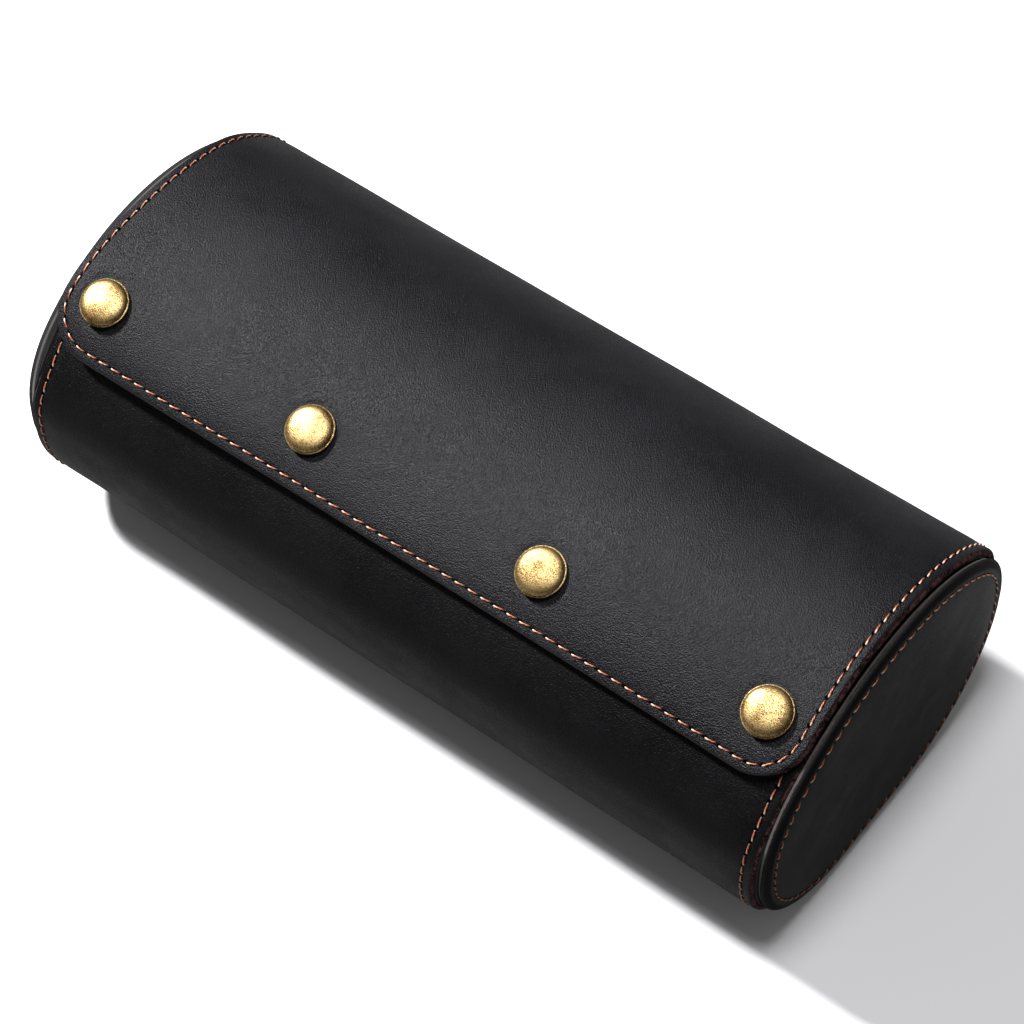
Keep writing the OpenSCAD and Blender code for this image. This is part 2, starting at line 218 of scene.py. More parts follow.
@dataclass(frozen=True)
class RollSizes:
    """Sizes of the roll's cross-section and length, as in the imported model."""

    half_depth: float = 50.5
    dome_h: float = 39.7
    belly_h: float = 40.3
    shoulder_r: float = 33.0
    belly_r: float = 37.0
    core_len: float = 219.6
    proud: float = 0.9
    fold_dir: float = 25.0
    join_dir: float = 29.5
    flap_reach: float = 47.5
    mouth_reach: float = 26.0
    snap_reach: float = 32.5
    lining_depth: float = 2.6
    flap_air: float = 0.9
    body_half: float = 109.1
    flap_half: float = 109.3
    flap_corner_r: float = 13.0
    body_seam: float = 2.9
    flap_seam: float = 2.65

    @property
    def mid_z(self) -> float:
        """Height of the widest level above the floor."""
        return self.belly_h + self.proud

    @property
    def shoulder_y(self) -> float:
        """Depth of the shoulder arcs' centres."""
        return self.half_depth - self.shoulder_r

    @property
    def dome_r(self) -> float:
        """Radius of the end panel's dome."""
        high = self.shoulder_y**2 + self.dome_h**2 - self.shoulder_r**2
        return high / (2 * (self.dome_h - self.shoulder_r))

    @property
    def dome_drop(self) -> float:
        """Depth of the dome's centre below the widest level."""
        return self.dome_r - self.dome_h

    @property
    def dome_dir(self) -> float:
        """Direction at which the back shoulder meets the dome."""
        return math.degrees(math.atan2(self.dome_drop, self.shoulder_y))

    def wrap(self) -> Outline:
        """Outer face of the leather, from the mouth round the bottom and back to the flap's lip.

        Returns:
            The outline.
        """
        drop, half = self.dome_drop, self.half_depth + self.proud
        front_dome_r = self.dome_r + self.proud - self.lining_depth - self.flap_air
        front_r = (front_dome_r**2 - half**2 - drop**2) / (2 * (front_dome_r - half))
        front_dir = 180 - math.degrees(math.atan2(drop, half - front_r))
        mouth_dir = 90 + math.degrees(self.mouth_reach / (self.dome_r + self.proud))
        belly_y, belly_z = self.half_depth - self.belly_r, self.belly_h - self.belly_r
        belly, shoulder = self.belly_r + self.proud, self.shoulder_r + self.proud
        low = -self.belly_h - self.proud
        return Outline(
            (
                Arc(0, -drop, front_dome_r, mouth_dir, front_dir),
                Arc(front_r - half, 0, front_r, front_dir, 180),
                Flat(-half, 0, -half, -belly_z),
                Arc(-belly_y, -belly_z, belly, 180, 270),
                Flat(-belly_y, low, belly_y, low),
                Arc(belly_y, -belly_z, belly, 270, 360),
                Flat(half, -belly_z, half, 0),
                Arc(self.shoulder_y, 0, shoulder, 0, self.dome_dir),
                Arc(0, -drop, self.dome_r + self.proud, self.dome_dir, 180 - self.dome_dir),
                Arc(-self.shoulder_y, 0, shoulder, 180 - self.dome_dir, 180),
            ),
            self.mid_z,
        )

    def oval(self) -> Outline:
        """Outline of an end panel, all the way round from the widest level at the back.

        Returns:
            The outline.
        """
        belly_y, belly_z = self.half_depth - self.belly_r, self.belly_h - self.belly_r
        half, low = self.half_depth, -self.belly_h
        return Outline(
            (
                Arc(self.shoulder_y, 0, self.shoulder_r, 0, self.dome_dir),
                Arc(0, -self.dome_drop, self.dome_r, self.dome_dir, 180 - self.dome_dir),
                Arc(-self.shoulder_y, 0, self.shoulder_r, 180 - self.dome_dir, 180),
                Flat(-half, 0, -half, -belly_z),
                Arc(-belly_y, -belly_z, self.belly_r, 180, 270),
                Flat(-belly_y, low, belly_y, low),
                Arc(belly_y, -belly_z, self.belly_r, 270, 360),
                Flat(half, -belly_z, half, 0),
            ),
            self.mid_z,
        )


SIZES = RollSizes()
WRAP = SIZES.wrap()
FOLD_RUN = WRAP.run_to(7, SIZES.fold_dir)
TOP_RUN = WRAP.run_to(8, 90.0)
LIP_RUN = TOP_RUN + SIZES.flap_reach
BOTTOM_RUN = WRAP.run_to(3, 270.0) + WRAP.parts[4].length / 2
JOIN_RUN = WRAP.run_to(7, SIZES.join_dir)


# Surface relief.


@dataclass(frozen=True)
class Swell:
    """Smooth rise or dip of the leather over a patch."""

    x: float
    reach: float
    wide: float
    long: float
    height: float

    def at(self, x: Numbers, reach: Numbers) -> Numbers:
        """Heights of the patch.

        Args:
            x: Places across the roll.
            reach: Lengths from the top of the dome towards the flap's lip.

        Returns:
            The heights.
        """
        away = ((x - self.x) / self.wide) ** 2 + ((reach - self.reach) / self.long) ** 2
        return self.height * np.exp(-away)


@dataclass(frozen=True)
class Relief:
    """How the hide lies on its board: patches, slow waves and seats under the studs."""

    swells: tuple[Swell, ...]
    waves: tuple[tuple[float, float, float, float], ...]
    seats: tuple[tuple[float, float], ...]
    seat_r: float = 6.7
    seat_wall: float = 1.1
    seat_depth: float = 0.35

    def slow(self, x: Numbers, run: Numbers) -> Numbers:
        """Rise of the leather without the seats.

        Args:
            x: Places across the roll.
            run: Lengths along the wrap.

        Returns:
            The rise at each place.
        """
        reach = run - TOP_RUN
        rise = np.zeros(np.broadcast(x, run).shape)
        for swell in self.swells:
            rise = rise + swell.at(x, reach)
        for height, long_x, long_s, turn in self.waves:
            rise = rise + height * np.sin(x / long_x + turn) * np.cos(run / long_s + 2 * turn)
        return rise

    def at(self, x: Numbers, run: Numbers) -> Numbers:
        """Rise of the leather, with the seats pressed in round the studs.

        Args:
            x: Places across the roll.
            run: Lengths along the wrap.

        Returns:
            The rise at each place.
        """
        rise = self.slow(x, run)
        for seat_x, seat_run in self.seats:
            away = np.hypot(x - seat_x, run - seat_run)
            past = np.minimum((away - self.seat_r) / (self.seat_wall / 4), MAX_POWER)
            rise = rise - self.seat_depth / (1 + np.exp(past))
        return rise


# Largest power of e that is worked out, and places of the press studs across the roll.
MAX_POWER = 40.0
SNAP_X = (-97.0, -34.0, 34.0, 97.0)
RELIEF = Relief(
    swells=(
        Swell(-112, 31, 30, 18, 3.1),
        Swell(-112, -27, 16, 11, 0.8),
        Swell(-70, 42, 34, 16, 1.3),
        Swell(60, 12, 55, 26, 0.35),
        Swell(55, 50, 42, 12, -0.6),
        Swell(108, 12, 8, 9, 0.5),
    ),
    waves=((0.10, 17.0, 19.0, 0.4), (0.07, 9.0, 31.0, 1.7), (0.05, 23.0, 8.5, 2.9)),
    seats=tuple((x, TOP_RUN + SIZES.snap_reach) for x in SNAP_X),
)


# Mesh making.


def put_in_scene(name: str, data: bpy.types.ID) -> Object:
    """Makes an object at the origin and links it to the scene.

    Args:
        name: Name of the object.
        data: Its mesh, lamp or camera.

    Returns:
        The object.
    """
    made = bpy.data.objects.new(name, data)
    bpy.context.scene.collection.objects.link(made)
    return made


def ring_quads(rings: int, count: int) -> list[tuple[int, ...]]:
    """Quads between closed rings of points that follow each other.

    Args:
        rings: Number of rings.
        count: Points in each ring.

    Returns:
        The quads, ring after ring.
    """
    return [
        (j * count + i, j * count + (i + 1) % count, (j + 1) * count + (i + 1) % count, (j + 1) * count + i)
        for j in range(rings - 1)
        for i in range(count)
    ]


@dataclass
class Shell:
    """Points and faces of one closed piece, before it becomes a mesh."""

    points: Numbers
    faces: list[tuple[int, ...]]
    finish: list[int] = field(default_factory=list)
    marks: dict[str, Numbers] = field(default_factory=dict)

    def build(self, name: str, materials: Sequence[Material], body: Body | None = None) -> Object:
        """Makes the mesh object.

        Args:
            name: Name of the piece.
            materials: Its materials, in the order of the finish numbers.
            body: Body that it rides on, if it is rigid.

        Returns:
            The new object, at the origin and unturned.
        """
        mesh = bpy.data.meshes.new(name)
        mesh.from_pydata((self.points * MM).tolist(), [], self.faces)
        for material in materials:
            mesh.materials.append(material)
        if self.finish:
            mesh.polygons.foreach_set("material_index", self.finish)
        for mark, values in self.marks.items():
            layer = mesh.attributes.new(mark, "FLOAT", "POINT")
            layer.data.foreach_set("value", np.asarray(values, np.float32))
        mesh.polygons.foreach_set("use_smooth", [True] * len(self.faces))
        turn_outwards(mesh)
        made = put_in_scene(name, mesh)
        if body is not None:
            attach(made, body.value)
        return made


def turn_outwards(mesh: bpy.types.Mesh) -> None:
    """Points the faces of a closed mesh outwards.

    Args:
        mesh: Mesh to correct in place.
    """
    work = bmesh.new()
    work.from_mesh(mesh)
    bmesh.ops.recalc_face_normals(work, faces=work.faces)
    work.to_mesh(mesh)
    work.free()


def sharpen(mesh: bpy.types.Mesh, angle: float) -> None:
    """Marks the edges that turn more than an angle as sharp.

    Args:
        mesh: Mesh to mark.
        angle: Largest smooth turn, in degrees.
    """
    work = bmesh.new()
    work.from_mesh(mesh)
    for edge in work.edges:
        faces = edge.link_faces
        if len(faces) == 2 and faces[0].normal.angle(faces[1].normal, 0) > math.radians(angle):
            edge.smooth = False
    work.to_mesh(mesh)
    work.free()


# Distances from a sheet's edge: its rows of points, and the leather's height there with a sunk seam.
RIM_STEPS = (7.5, 6.4, 5.3, 4.3, 3.6, 3.2, 2.8, 2.4, 2.0, 1.4, 0.8, 0.4, 0.15, 0.0)
RIM_AT = (0.0, 0.15, 0.4, 0.8, 1.4, 2.0, 2.4, 2.8, 3.2, 3.6, 4.3, 5.3, 6.4, 7.5, 16.0)
RIM_LIFT = (-0.42, -0.16, -0.02, 0.03, 0.02, -0.02, -0.08, -0.12, -0.08, -0.03, 0.02, 0.06, 0.08, 0.08, 0)
END_ROW = 0.12


@dataclass
class Cut:
    """Flat cut of a sheet, as a mesh of quads in width and run.

    The rim is each point's distance from the edge, and the seam its length along the stitches.
    """

    x: Numbers
    run: Numbers
    rim: Numbers
    seam: Numbers
    quads: list[tuple[int, int, int, int]]
    side: Numbers
    seam_in: float = 2.9


def columns(half: float, step: float) -> Numbers:
    """Places across a sheet, close together along its side edges.

    Args:
        half: Half of the sheet's width.
        step: Distance between columns away from the edges.

    Returns:
        The places, from left to right.
    """
    edge = half - np.array(RIM_STEPS)
    inner = half - RIM_STEPS[0]
    middle = np.linspace(-inner, inner, max(2, int(2 * inner / step)) + 1)
    return np.concatenate([-edge[:0:-1], middle, edge[1:]])


def strip_cut(start: float, end: float, half: Callable[[float], float], step: float) -> Cut:
    """Cut of a sheet with two free side edges.

    Args:
        start: Run at which the sheet begins.
        end: Run at which it ends.
        half: Half width of the sheet at a run.
        step: Size of a quad.

    Returns:
        The cut, with runs as its seam.
    """
    inner = np.linspace(start, end, max(2, int((end - start) / step)) + 1)
    rows = np.concatenate([[start, start + END_ROW], inner[1:-1], [end - END_ROW, end]])
    base = columns(half(start), step)
    x = np.stack([base * half(s) / half(start) for s in rows])
    run = np.repeat(rows[:, None], len(base), 1)
    rim = np.array([[half(s)] * len(base) for s in rows]) - np.abs(x)
    wide = len(base)
    quads = [
        (j * wide + i, (j + 1) * wide + i, (j + 1) * wide + i + 1, j * wide + i + 1)
        for j in range(len(rows) - 1)
        for i in range(wide - 1)
    ]
    return Cut(x.ravel(), run.ravel(), rim.ravel(), run.ravel(), quads, np.sign(x.ravel()))


def tongue_cut(
    start: float, end: float, half: float, corner: float, step: float, seam_in: float = 2.65
) -> Cut:
    """Cut of a sheet with free sides and a free end with two round corners.

    Args:
        start: Run at which the sheet begins.
        end: Run of its free end.
        half: Half width of the sheet.
        corner: Radius of the corners.
        step: Size of a quad.
        seam_in: Distance of the seam from the edge.

    Returns:
        The cut, with lengths in millimetres as its seam.
    """
    inset = RIM_STEPS[0]
    small = corner - inset
    straight = np.linspace(start, end - corner, int((end - corner - start) / step) + 1)
    straight = np.insert(straight, 1, start + END_ROW)
    turns = np.radians(np.linspace(0, 90, 13)[1:])
    row_half = np.concatenate([np.full(len(straight), half - inset), half - corner + small * np.cos(turns)])
    row_run = np.concatenate([straight, end - corner + small * np.sin(turns)])
    side = np.concatenate([np.zeros(len(straight)), turns])
    wide = int(2 * half / step)
    across = np.linspace(-1, 1, wide + 1)
    x = (row_half[:, None] * across).ravel()
    run = np.repeat(row_run, wide + 1)
    last = len(row_run) - 1
    quads = [
        (
            j * (wide + 1) + i,
            (j + 1) * (wide + 1) + i,
            (j + 1) * (wide + 1) + i + 1,
            j * (wide + 1) + i + 1,
        )
        for j in range(last)
        for i in range(wide)
    ]
    loop = [(j, wide, math.cos(side[j]), math.sin(side[j])) for j in range(last + 1)]
    loop += [(last, i, 0.0, 1.0) for i in range(wide - 1, -1, -1)]
    loop += [(j, 0, -math.cos(side[j]), math.sin(side[j])) for j in range(last - 1, -1, -1)]
    edge = np.array([j * (wide + 1) + i for j, i, _, _ in loop])
    out = np.array([(nx, ns) for _, _, nx, ns in loop])
    rim = np.full(x.shape, inset) + np.minimum.reduce(
        [half - inset - np.abs(x), np.maximum(end - inset - run, 0)]
    ).clip(0)
    grow = inset - seam_in
    mid_x, mid_run = x[edge] + out[:, 0] * grow, run[edge] + out[:, 1] * grow
    along = np.concatenate([[0], np.cumsum(np.hypot(np.diff(mid_x), np.diff(mid_run)))])
    seam, outward = np.zeros(x.shape), np.zeros(x.shape)
    seam[edge], outward[edge] = along, out[:, 0]
    before = edge
    for distance in RIM_STEPS[1:]:
        grown = np.arange(len(x), len(x) + len(edge))
        x = np.concatenate([x, x[edge] + out[:, 0] * (inset - distance)])
        run = np.concatenate([run, run[edge] + out[:, 1] * (inset - distance)])
        rim = np.concatenate([rim, np.full(len(edge), distance)])
        seam = np.concatenate([seam, along])
        outward = np.concatenate([outward, out[:, 0]])
        quads += [
            (int(before[k]), int(before[k + 1]), int(grown[k + 1]), int(grown[k]))
            for k in range(len(edge) - 1)
        ]
        before = grown
    return Cut(x, run, rim, seam, quads, outward, seam_in)


def sewing_marks(rim: Numbers, seam: Numbers, seam_in: float, stud_away: Numbers) -> dict[str, Numbers]:
    """Attributes that the hide's finish reads.

    Args:
        rim: Distance of each point from the edge.
        seam: Length along the seam, in stitches.
        seam_in: Distance of the seam from the edge.
        stud_away: Distance from the nearest press stud.

    Returns:
        Values by attribute name.
    """
    return {"rim": rim, "seam": seam, "across": rim - seam_in, "stud_away": stud_away}


def free_edges(quads: Sequence[tuple[int, ...]]) -> list[tuple[int, int]]:
    """Edges of a mesh of quads that only one quad uses.

    Args:
        quads: Numbers of the corners of each quad.

    Returns:
        The edges, in their quad's own direction.
    """
    seen: dict[tuple[int, int], int] = {}
    for quad in quads:
        for a, b in zip(quad, quad[1:] + quad[:1]):
            seen[(a, b)] = seen.get((a, b), 0) + 1
    return [(a, b) for (a, b) in seen if (b, a) not in seen]


def jitter(points: Numbers, seed: float) -> Numbers:
    """Repeatable rough number from -1 to 1 for each point.

    Args:
        points: Points in millimetres.
        seed: Number that tells two uses apart.

    Returns:
        The numbers.
    """
    mixed = points @ np.array([12.9898, 78.233, 37.719]) + seed
    return 2 * np.modf(np.abs(np.sin(mixed) * 43758.5453))[0] - 1


def stud_distance(cut: Cut) -> Numbers:
    """Distance of each point of a sheet from the nearest press stud.

    Args:
        cut: Flat cut of the sheet.

    Returns:
        The distances.
    """
    return np.minimum.reduce([np.hypot(cut.x - x, cut.run - run) for x, run in RELIEF.seats])


# How far the cut edge leans in, how far its lining side lifts, and how far the wall bulges.
SKIVE, SKIVE_REACH = 0.7, 0.7
TUCK, TUCK_REACH = 0.12, 0.2
EDGE_BULGE, EDGE_LEVELS = 0.10, 4


def sheet_shell(
    cut: Cut,
    top: float,
    under: float,
    shaped: bool,
    rough: float = 0.0,
    lift: Callable[[Numbers, Numbers], Numbers] = RELIEF.at,
) -> Shell:
    """Bends a cut round the wrap and gives it its thickness.

    Args:
        cut: Flat cut of the sheet.
        top: Height of its outer face above the wrap's outer face.
        under: Height of its inner face.
        shaped: Whether the edge is rounded and the seam sinks, as on leather.
        rough: How far the cut edge's fibres stand out.
        lift: Rise of the sheet at a place.

    Returns:
        The closed shell, with its walls on the second material.
    """
    count = len(cut.x)
    rise = lift(cut.x, cut.run)
    profile = np.interp(cut.rim, RIM_AT, RIM_LIFT) if shaped else np.zeros(count)
    skive = SKIVE * np.exp(-cut.rim / SKIVE_REACH) * cut.side if shaped else 0
    outer = WRAP.place(cut.x - skive, cut.run, top + rise + profile)
    slow = RELIEF.slow(cut.x, cut.run)
    tuck = TUCK * np.exp(-cut.rim / TUCK_REACH) if shaped else 0
    inner = WRAP.place(cut.x, cut.run, under + slow + tuck)
    points = [outer, inner]
    faces: list[tuple[int, ...]] = [tuple(quad) for quad in cut.quads]
    faces += [tuple(i + count for i in quad[::-1]) for quad in cut.quads]
    finish = [0] * len(faces)
    edges = free_edges(cut.quads)
    rim_points = sorted({a for edge in edges for a in edge})
    levels = EDGE_LEVELS if rough else 0
    place_of = {p: n for n, p in enumerate(rim_points)}
    total = 2 * count
    if levels:
        rim_outer, rim_inner = outer[rim_points], inner[rim_points]
        flat_x = cut.x[rim_points]
        side = np.where(cut.rim[rim_points] < 0.01, 1.0, 0.0)[:, None]
        away = np.stack([np.sign(flat_x), 0 * flat_x, 0 * flat_x], -1) * side
        for level in range(levels):
            part = (level + 1) / (levels + 1)
            ring = rim_outer * (1 - part) + rim_inner * part
            bulge = EDGE_BULGE * math.sin(math.pi * part) + rough * jitter(ring, level)
            points.append(ring + away * np.asarray(bulge)[:, None])
    rim_count = len(rim_points)

    def chain(p: int) -> list[int]:
        """Points down the wall below one rim point.

        Args:
            p: Number of the rim point.

        Returns:
            Numbers of the points, from the outer face to the inner.
        """
        return [p] + [total + n * rim_count + place_of[p] for n in range(levels)] + [p + count]

    for a, b in edges:
        left, right = chain(a), chain(b)
        for n in range(levels + 1):
            faces.append((right[n], left[n], left[n + 1], right[n + 1]))
            finish.append(1)
    spread = np.concatenate([np.arange(count)] * 2 + [np.array(rim_points)] * levels).astype(int)
    marks = sewing_marks(cut.rim[spread], cut.seam[spread], cut.seam_in, stud_distance(cut)[spread])
    return Shell(np.concatenate(points), faces, finish, marks)


# Node helpers.


# Socket types of node groups.
FLOAT = "NodeSocketFloat"
VECTOR = "NodeSocketVector"
GEOMETRY = "NodeSocketGeometry"


class Wiring:
    """Adds and links nodes in one tree."""

    def __init__(self, tree: bpy.types.NodeTree) -> None:
        """Keeps the tree.

        Args:
            tree: Tree that the nodes go into.
        """
        self.tree = tree

    def feed(self, socket: Socket, value: object) -> None:
        """Links a socket to an input, or sets its value.

        Args:
            socket: The input.
            value: Socket or value. A colour has three linear parts.
        """
        if isinstance(value, bpy.types.NodeSocket):
            self.tree.links.new(value, socket)
        elif socket.type == "RGBA":
            socket.default_value = (*value, 1.0)
        else:
            socket.default_value = value

    def fill(self, node: bpy.types.Node, inputs: dict) -> None:
        """Feeds several inputs of a node.

        Args:
            node: The node.
            inputs: Values or sockets by input name or number.
        """
        for name, value in inputs.items():
            self.feed(node.inputs[name], value)

    def add(self, kind: str, inputs: dict | None = None, **settings: object) -> bpy.types.Node:
        """Adds a node.

        Args:
            kind: Node type.
            inputs: Values or sockets by input name or number.
            settings: Node properties.

        Returns:
            The node.
        """
        node = self.tree.nodes.new(kind)
        for name, value in settings.items():
            setattr(node, name, value)
        self.fill(node, inputs or {})
        return node

    def math(self, operation: str, *values: object) -> Socket:
        """Result of a Math node.

        Args:
            operation: Its operation.
            values: Values or sockets of its inputs.

        Returns:
            The result.
        """
        return self.add("ShaderNodeMath", dict(enumerate(values)), operation=operation).outputs[0]

    def total(self, *terms: tuple[object, object]) -> Socket:
        """Weighted sum.

        Args:
            terms: Values or sockets, each with its weight.

        Returns:
            The sum.
        """
        parts = [value if weight == 1 else self.math("MULTIPLY", value, weight) for value, weight in terms]
        return reduce(lambda first, second: self.math("ADD", first, second), parts)

    def vector(self, x: object = 0.0, y: object = 0.0, z: object = 0.0) -> Socket:
        """Vector of three values or sockets.

        Args:
            x: First part.
            y: Second part.
            z: Third part.

        Returns:
            The vector.
        """
        return self.add("ShaderNodeCombineXYZ", {0: x, 1: y, 2: z}).outputs[0]

    def noise(self, where: Socket, scale: float, detail: float = 2.0, **inputs: object) -> Socket:
        """Factor of a Noise Texture.

        Args:
            where: Coordinates.
            scale: Scale per metre.
            detail: Number of octaves.
            inputs: Further inputs, such as Roughness.

        Returns:
            The factor.
        """
        given = {"Vector": where, "Scale": scale, "Detail": detail, **inputs}
        return self.add("ShaderNodeTexNoise", given).outputs["Fac"]

    def ramp(self, value: Socket, low: float, high: float, to_low: float, to_high: float) -> Socket:
        """Clamped, smooth change of a value from one range to another.

        Args:
            value: The value.
            low: Start of its range.
            high: End of its range.
            to_low: Result at the start.
            to_high: Result at the end.

        Returns:
            The result.
        """
        given = {"Value": value, "From Min": low, "From Max": high, "To Min": to_low, "To Max": to_high}
        node = self.add("ShaderNodeMapRange", given, interpolation_type="SMOOTHSTEP")
        return node.outputs["Result"]

    def blend(self, factor: Socket | float, first: object, second: object) -> Socket:
        """Mix of two colours.

        Args:
            factor: Share of the second colour.
            first: First colour.
            second: Second colour.

        Returns:
            The mix.
        """
        node = self.add("ShaderNodeMix", {"Factor": factor}, data_type="RGBA")
        self.fill(node, {6: first, 7: second})
        return node.outputs[2]

    def mark(self, name: str) -> Socket:
        """Value of a mesh attribute.

        Args:
            name: Name of the attribute.

        Returns:
            The value.
        """
        return self.add("ShaderNodeAttribute", attribute_name=name).outputs["Fac"]

    def stretched(self, where: Socket, turn: tuple[float, ...], scale: tuple[float, ...]) -> Socket:
        """Coordinates turned and scaled by axis.

        Args:
            where: Coordinates.
            turn: Euler angles.
            scale: Scale by axis.

        Returns:
            The new coordinates.
        """
        return self.add("ShaderNodeMapping", {"Vector": where, "Rotation": turn, "Scale": scale}).outputs[0]

    def bump(self, height: Socket, strength: float, distance: float, **inputs: Socket) -> Socket:
        """Normal of a Bump node.

        Args:
            height: Height.
            strength: Strength.
            distance: Height of 1, in metres.
            inputs: The normal that it starts from.

        Returns:
            The normal.
        """
        given = {"Strength": strength, "Distance": distance, "Height": height, **inputs}
        return self.add("ShaderNodeBump", given).outputs[0]

    def random(self, seed: Socket, low: object, high: object) -> Socket:
        """Random number or vector for each point.

        Args:
            seed: Seed.
            low: Lowest value, a vector as a tuple.
            high: Highest value.

        Returns:
            The value.
        """
        kind, at, out = ("FLOAT_VECTOR", 0, 0) if isinstance(low, tuple) else ("FLOAT", 2, 1)
        given = {"Seed": seed, at: low, at + 1: high}
        return self.add("FunctionNodeRandomValue", given, data_type=kind).outputs[out]

    def scatter(self, points: Socket, piece: Socket, turn: Socket, angles: Socket, size: Socket) -> Socket:
        """Copies a piece onto points and makes the copies real.

        Args:
            points: The points.
            piece: The piece.
            turn: Rotation at the points.
            angles: Euler angles by which each copy is turned further, in its own axes.
            size: Scale of the copies.

        Returns:
            The geometry.
        """
        by = self.add("FunctionNodeEulerToRotation", {0: angles}).outputs[0]
        given = {"Rotation": turn, "Rotate By": by}
        turned = self.add("FunctionNodeRotateRotation", given, rotation_space="LOCAL").outputs[0]
        given = {"Points": points, "Instance": piece, "Rotation": turned, "Scale": size}
        copies = self.add("GeometryNodeInstanceOnPoints", given).outputs[0]
        return self.add("GeometryNodeRealizeInstances", {"Geometry": copies}).outputs[0]

    def with_factor(self, curve: Socket, name: str) -> tuple[Socket, Socket]:
        """Keeps the place along a curve, from 0 to 1, for its points.

        Args:
            curve: The curve.
            name: Name of the kept value.

        Returns:
            The curve and the kept value.
        """
        node = self.add("GeometryNodeCaptureAttribute", {"Geometry": curve}, domain="POINT")
        node.capture_items.new("FLOAT", name)
        self.feed(node.inputs[name], self.add("GeometryNodeSplineParameter").outputs["Factor"])
        return node.outputs["Geometry"], node.outputs[name]


def tree_with(
    name: str, ins: dict[str, str], outs: dict[str, str], kind: str = "ShaderNodeTree"
) -> tuple[Wiring, dict, dict]:
    """Starts a node group.

    Args:
        name: Name of the group.
        ins: Socket types by input name.
        outs: Socket types by output name.
        kind: Type of the tree.

    Returns:
        The wiring of its tree, and its input and output sockets by name.
    """
    tree = bpy.data.node_groups.new(name, kind)
    for socket, socket_type in ins.items():
        tree.interface.new_socket(socket, in_out="INPUT", socket_type=socket_type)
    for socket, socket_type in outs.items():
        tree.interface.new_socket(socket, in_out="OUTPUT", socket_type=socket_type)
    start = tree.nodes.new("NodeGroupInput")
    end = tree.nodes.new("NodeGroupOutput")
    given = {socket: start.outputs[socket] for socket in ins}
    return Wiring(tree), given, {socket: end.inputs[socket] for socket in outs}


@cache
def grain_group() -> bpy.types.NodeTree:
    """Group with the pores of a hide: fine pebbles, and hairlines that cross them.

    Returns:
        The group, built once.
    """
    w, given, made = tree_with(
        "HideGrain",
        {"Place": VECTOR, "Pebble Scale": FLOAT, "Hairline": FLOAT},
        {"Height": FLOAT, "Pores": FLOAT},
    )
    place = given["Place"]
    bent = w.add("ShaderNodeTexNoise", {"Vector": place, "Scale": 1500.0, "Detail": 3.0}).outputs["Color"]
    shift = w.add("ShaderNodeVectorMath", {0: bent, "Scale": 0.0003}, operation="SCALE").outputs[0]
    where = w.add("ShaderNodeVectorMath", {0: place, 1: shift}, operation="ADD").outputs[0]
    pebbles = {"Vector": where, "Scale": given["Pebble Scale"], "Smoothness": 0.6}
    away = w.add("ShaderNodeTexVoronoi", pebbles, feature="SMOOTH_F1").outputs["Distance"]
    fine = w.noise(where, 2900.0, 2.0, Roughness=0.55)
    lines = w.noise(where, 260.0, 4.0, Roughness=0.65)
    crease = w.ramp(w.math("ABSOLUTE", w.math("SUBTRACT", lines, 0.5)), 0.0, 0.03, -1.0, 0.0)
    w.feed(made["Height"], w.total((away, -0.7), (fine, 1.3), (crease, given["Hairline"])))
    w.feed(made["Pores"], w.ramp(away, 0.2, 0.75, 0.0, 1.0))
    return w.tree


@cache
def handling_group() -> bpy.types.NodeTree:
    """Group with what handling leaves: soft pale clouds, rubs along the roll and short scuffs.

    Returns:
        The group, built once.
    """
    w, given, made = tree_with(
        "Handling", {"Place": VECTOR, "Seed": FLOAT}, {"Clouds": FLOAT, "Scuffs": FLOAT, "Gloss": FLOAT}
    )
    shift = w.vector(given["Seed"], given["Seed"])
    where = w.add("ShaderNodeVectorMath", {0: given["Place"], 1: shift}, operation="ADD").outputs[0]
    wide = w.noise(where, 22.0, 4.0, Roughness=0.55, Distortion=0.6)
    small = w.noise(where, 120.0, 5.0, Roughness=0.6)
    w.feed(made["Clouds"], w.ramp(w.total((wide, 1), (small, 0.35)), 0.5, 0.85, 0, 1))
    streak = w.noise(w.stretched(where, (0.0, 0.0, 0.55), (38.0, 420.0, 200.0)), 1.0, 3.0, Roughness=0.7)
    patch = w.ramp(w.noise(where, 45.0, 2.0), 0.5, 0.68, 0.0, 1.0)
    w.feed(made["Scuffs"], w.math("MULTIPLY", w.ramp(streak, 0.64, 0.78, 0.0, 1.0), patch))
    w.feed(made["Gloss"], w.ramp(w.noise(where, 60.0, 5.0, Roughness=0.7), 0.3, 0.7, 0.0, 1.0))
    return w.tree


def new_material(name: str) -> tuple[Material, Wiring, bpy.types.Node, Socket]:
    """Starts a material.

    Args:
        name: Name of the material.

    Returns:
        The material, its wiring, its Principled BSDF and the object coordinates.
    """
    material = bpy.data.materials.new(name)
    material.use_nodes = True
    w = Wiring(material.node_tree)
    shader = material.node_tree.nodes["Principled BSDF"]
    where = w.add("ShaderNodeTexCoord").outputs["Object"]
    return material, w, shader, where


# Finishes.


Colour = tuple[float, float, float]


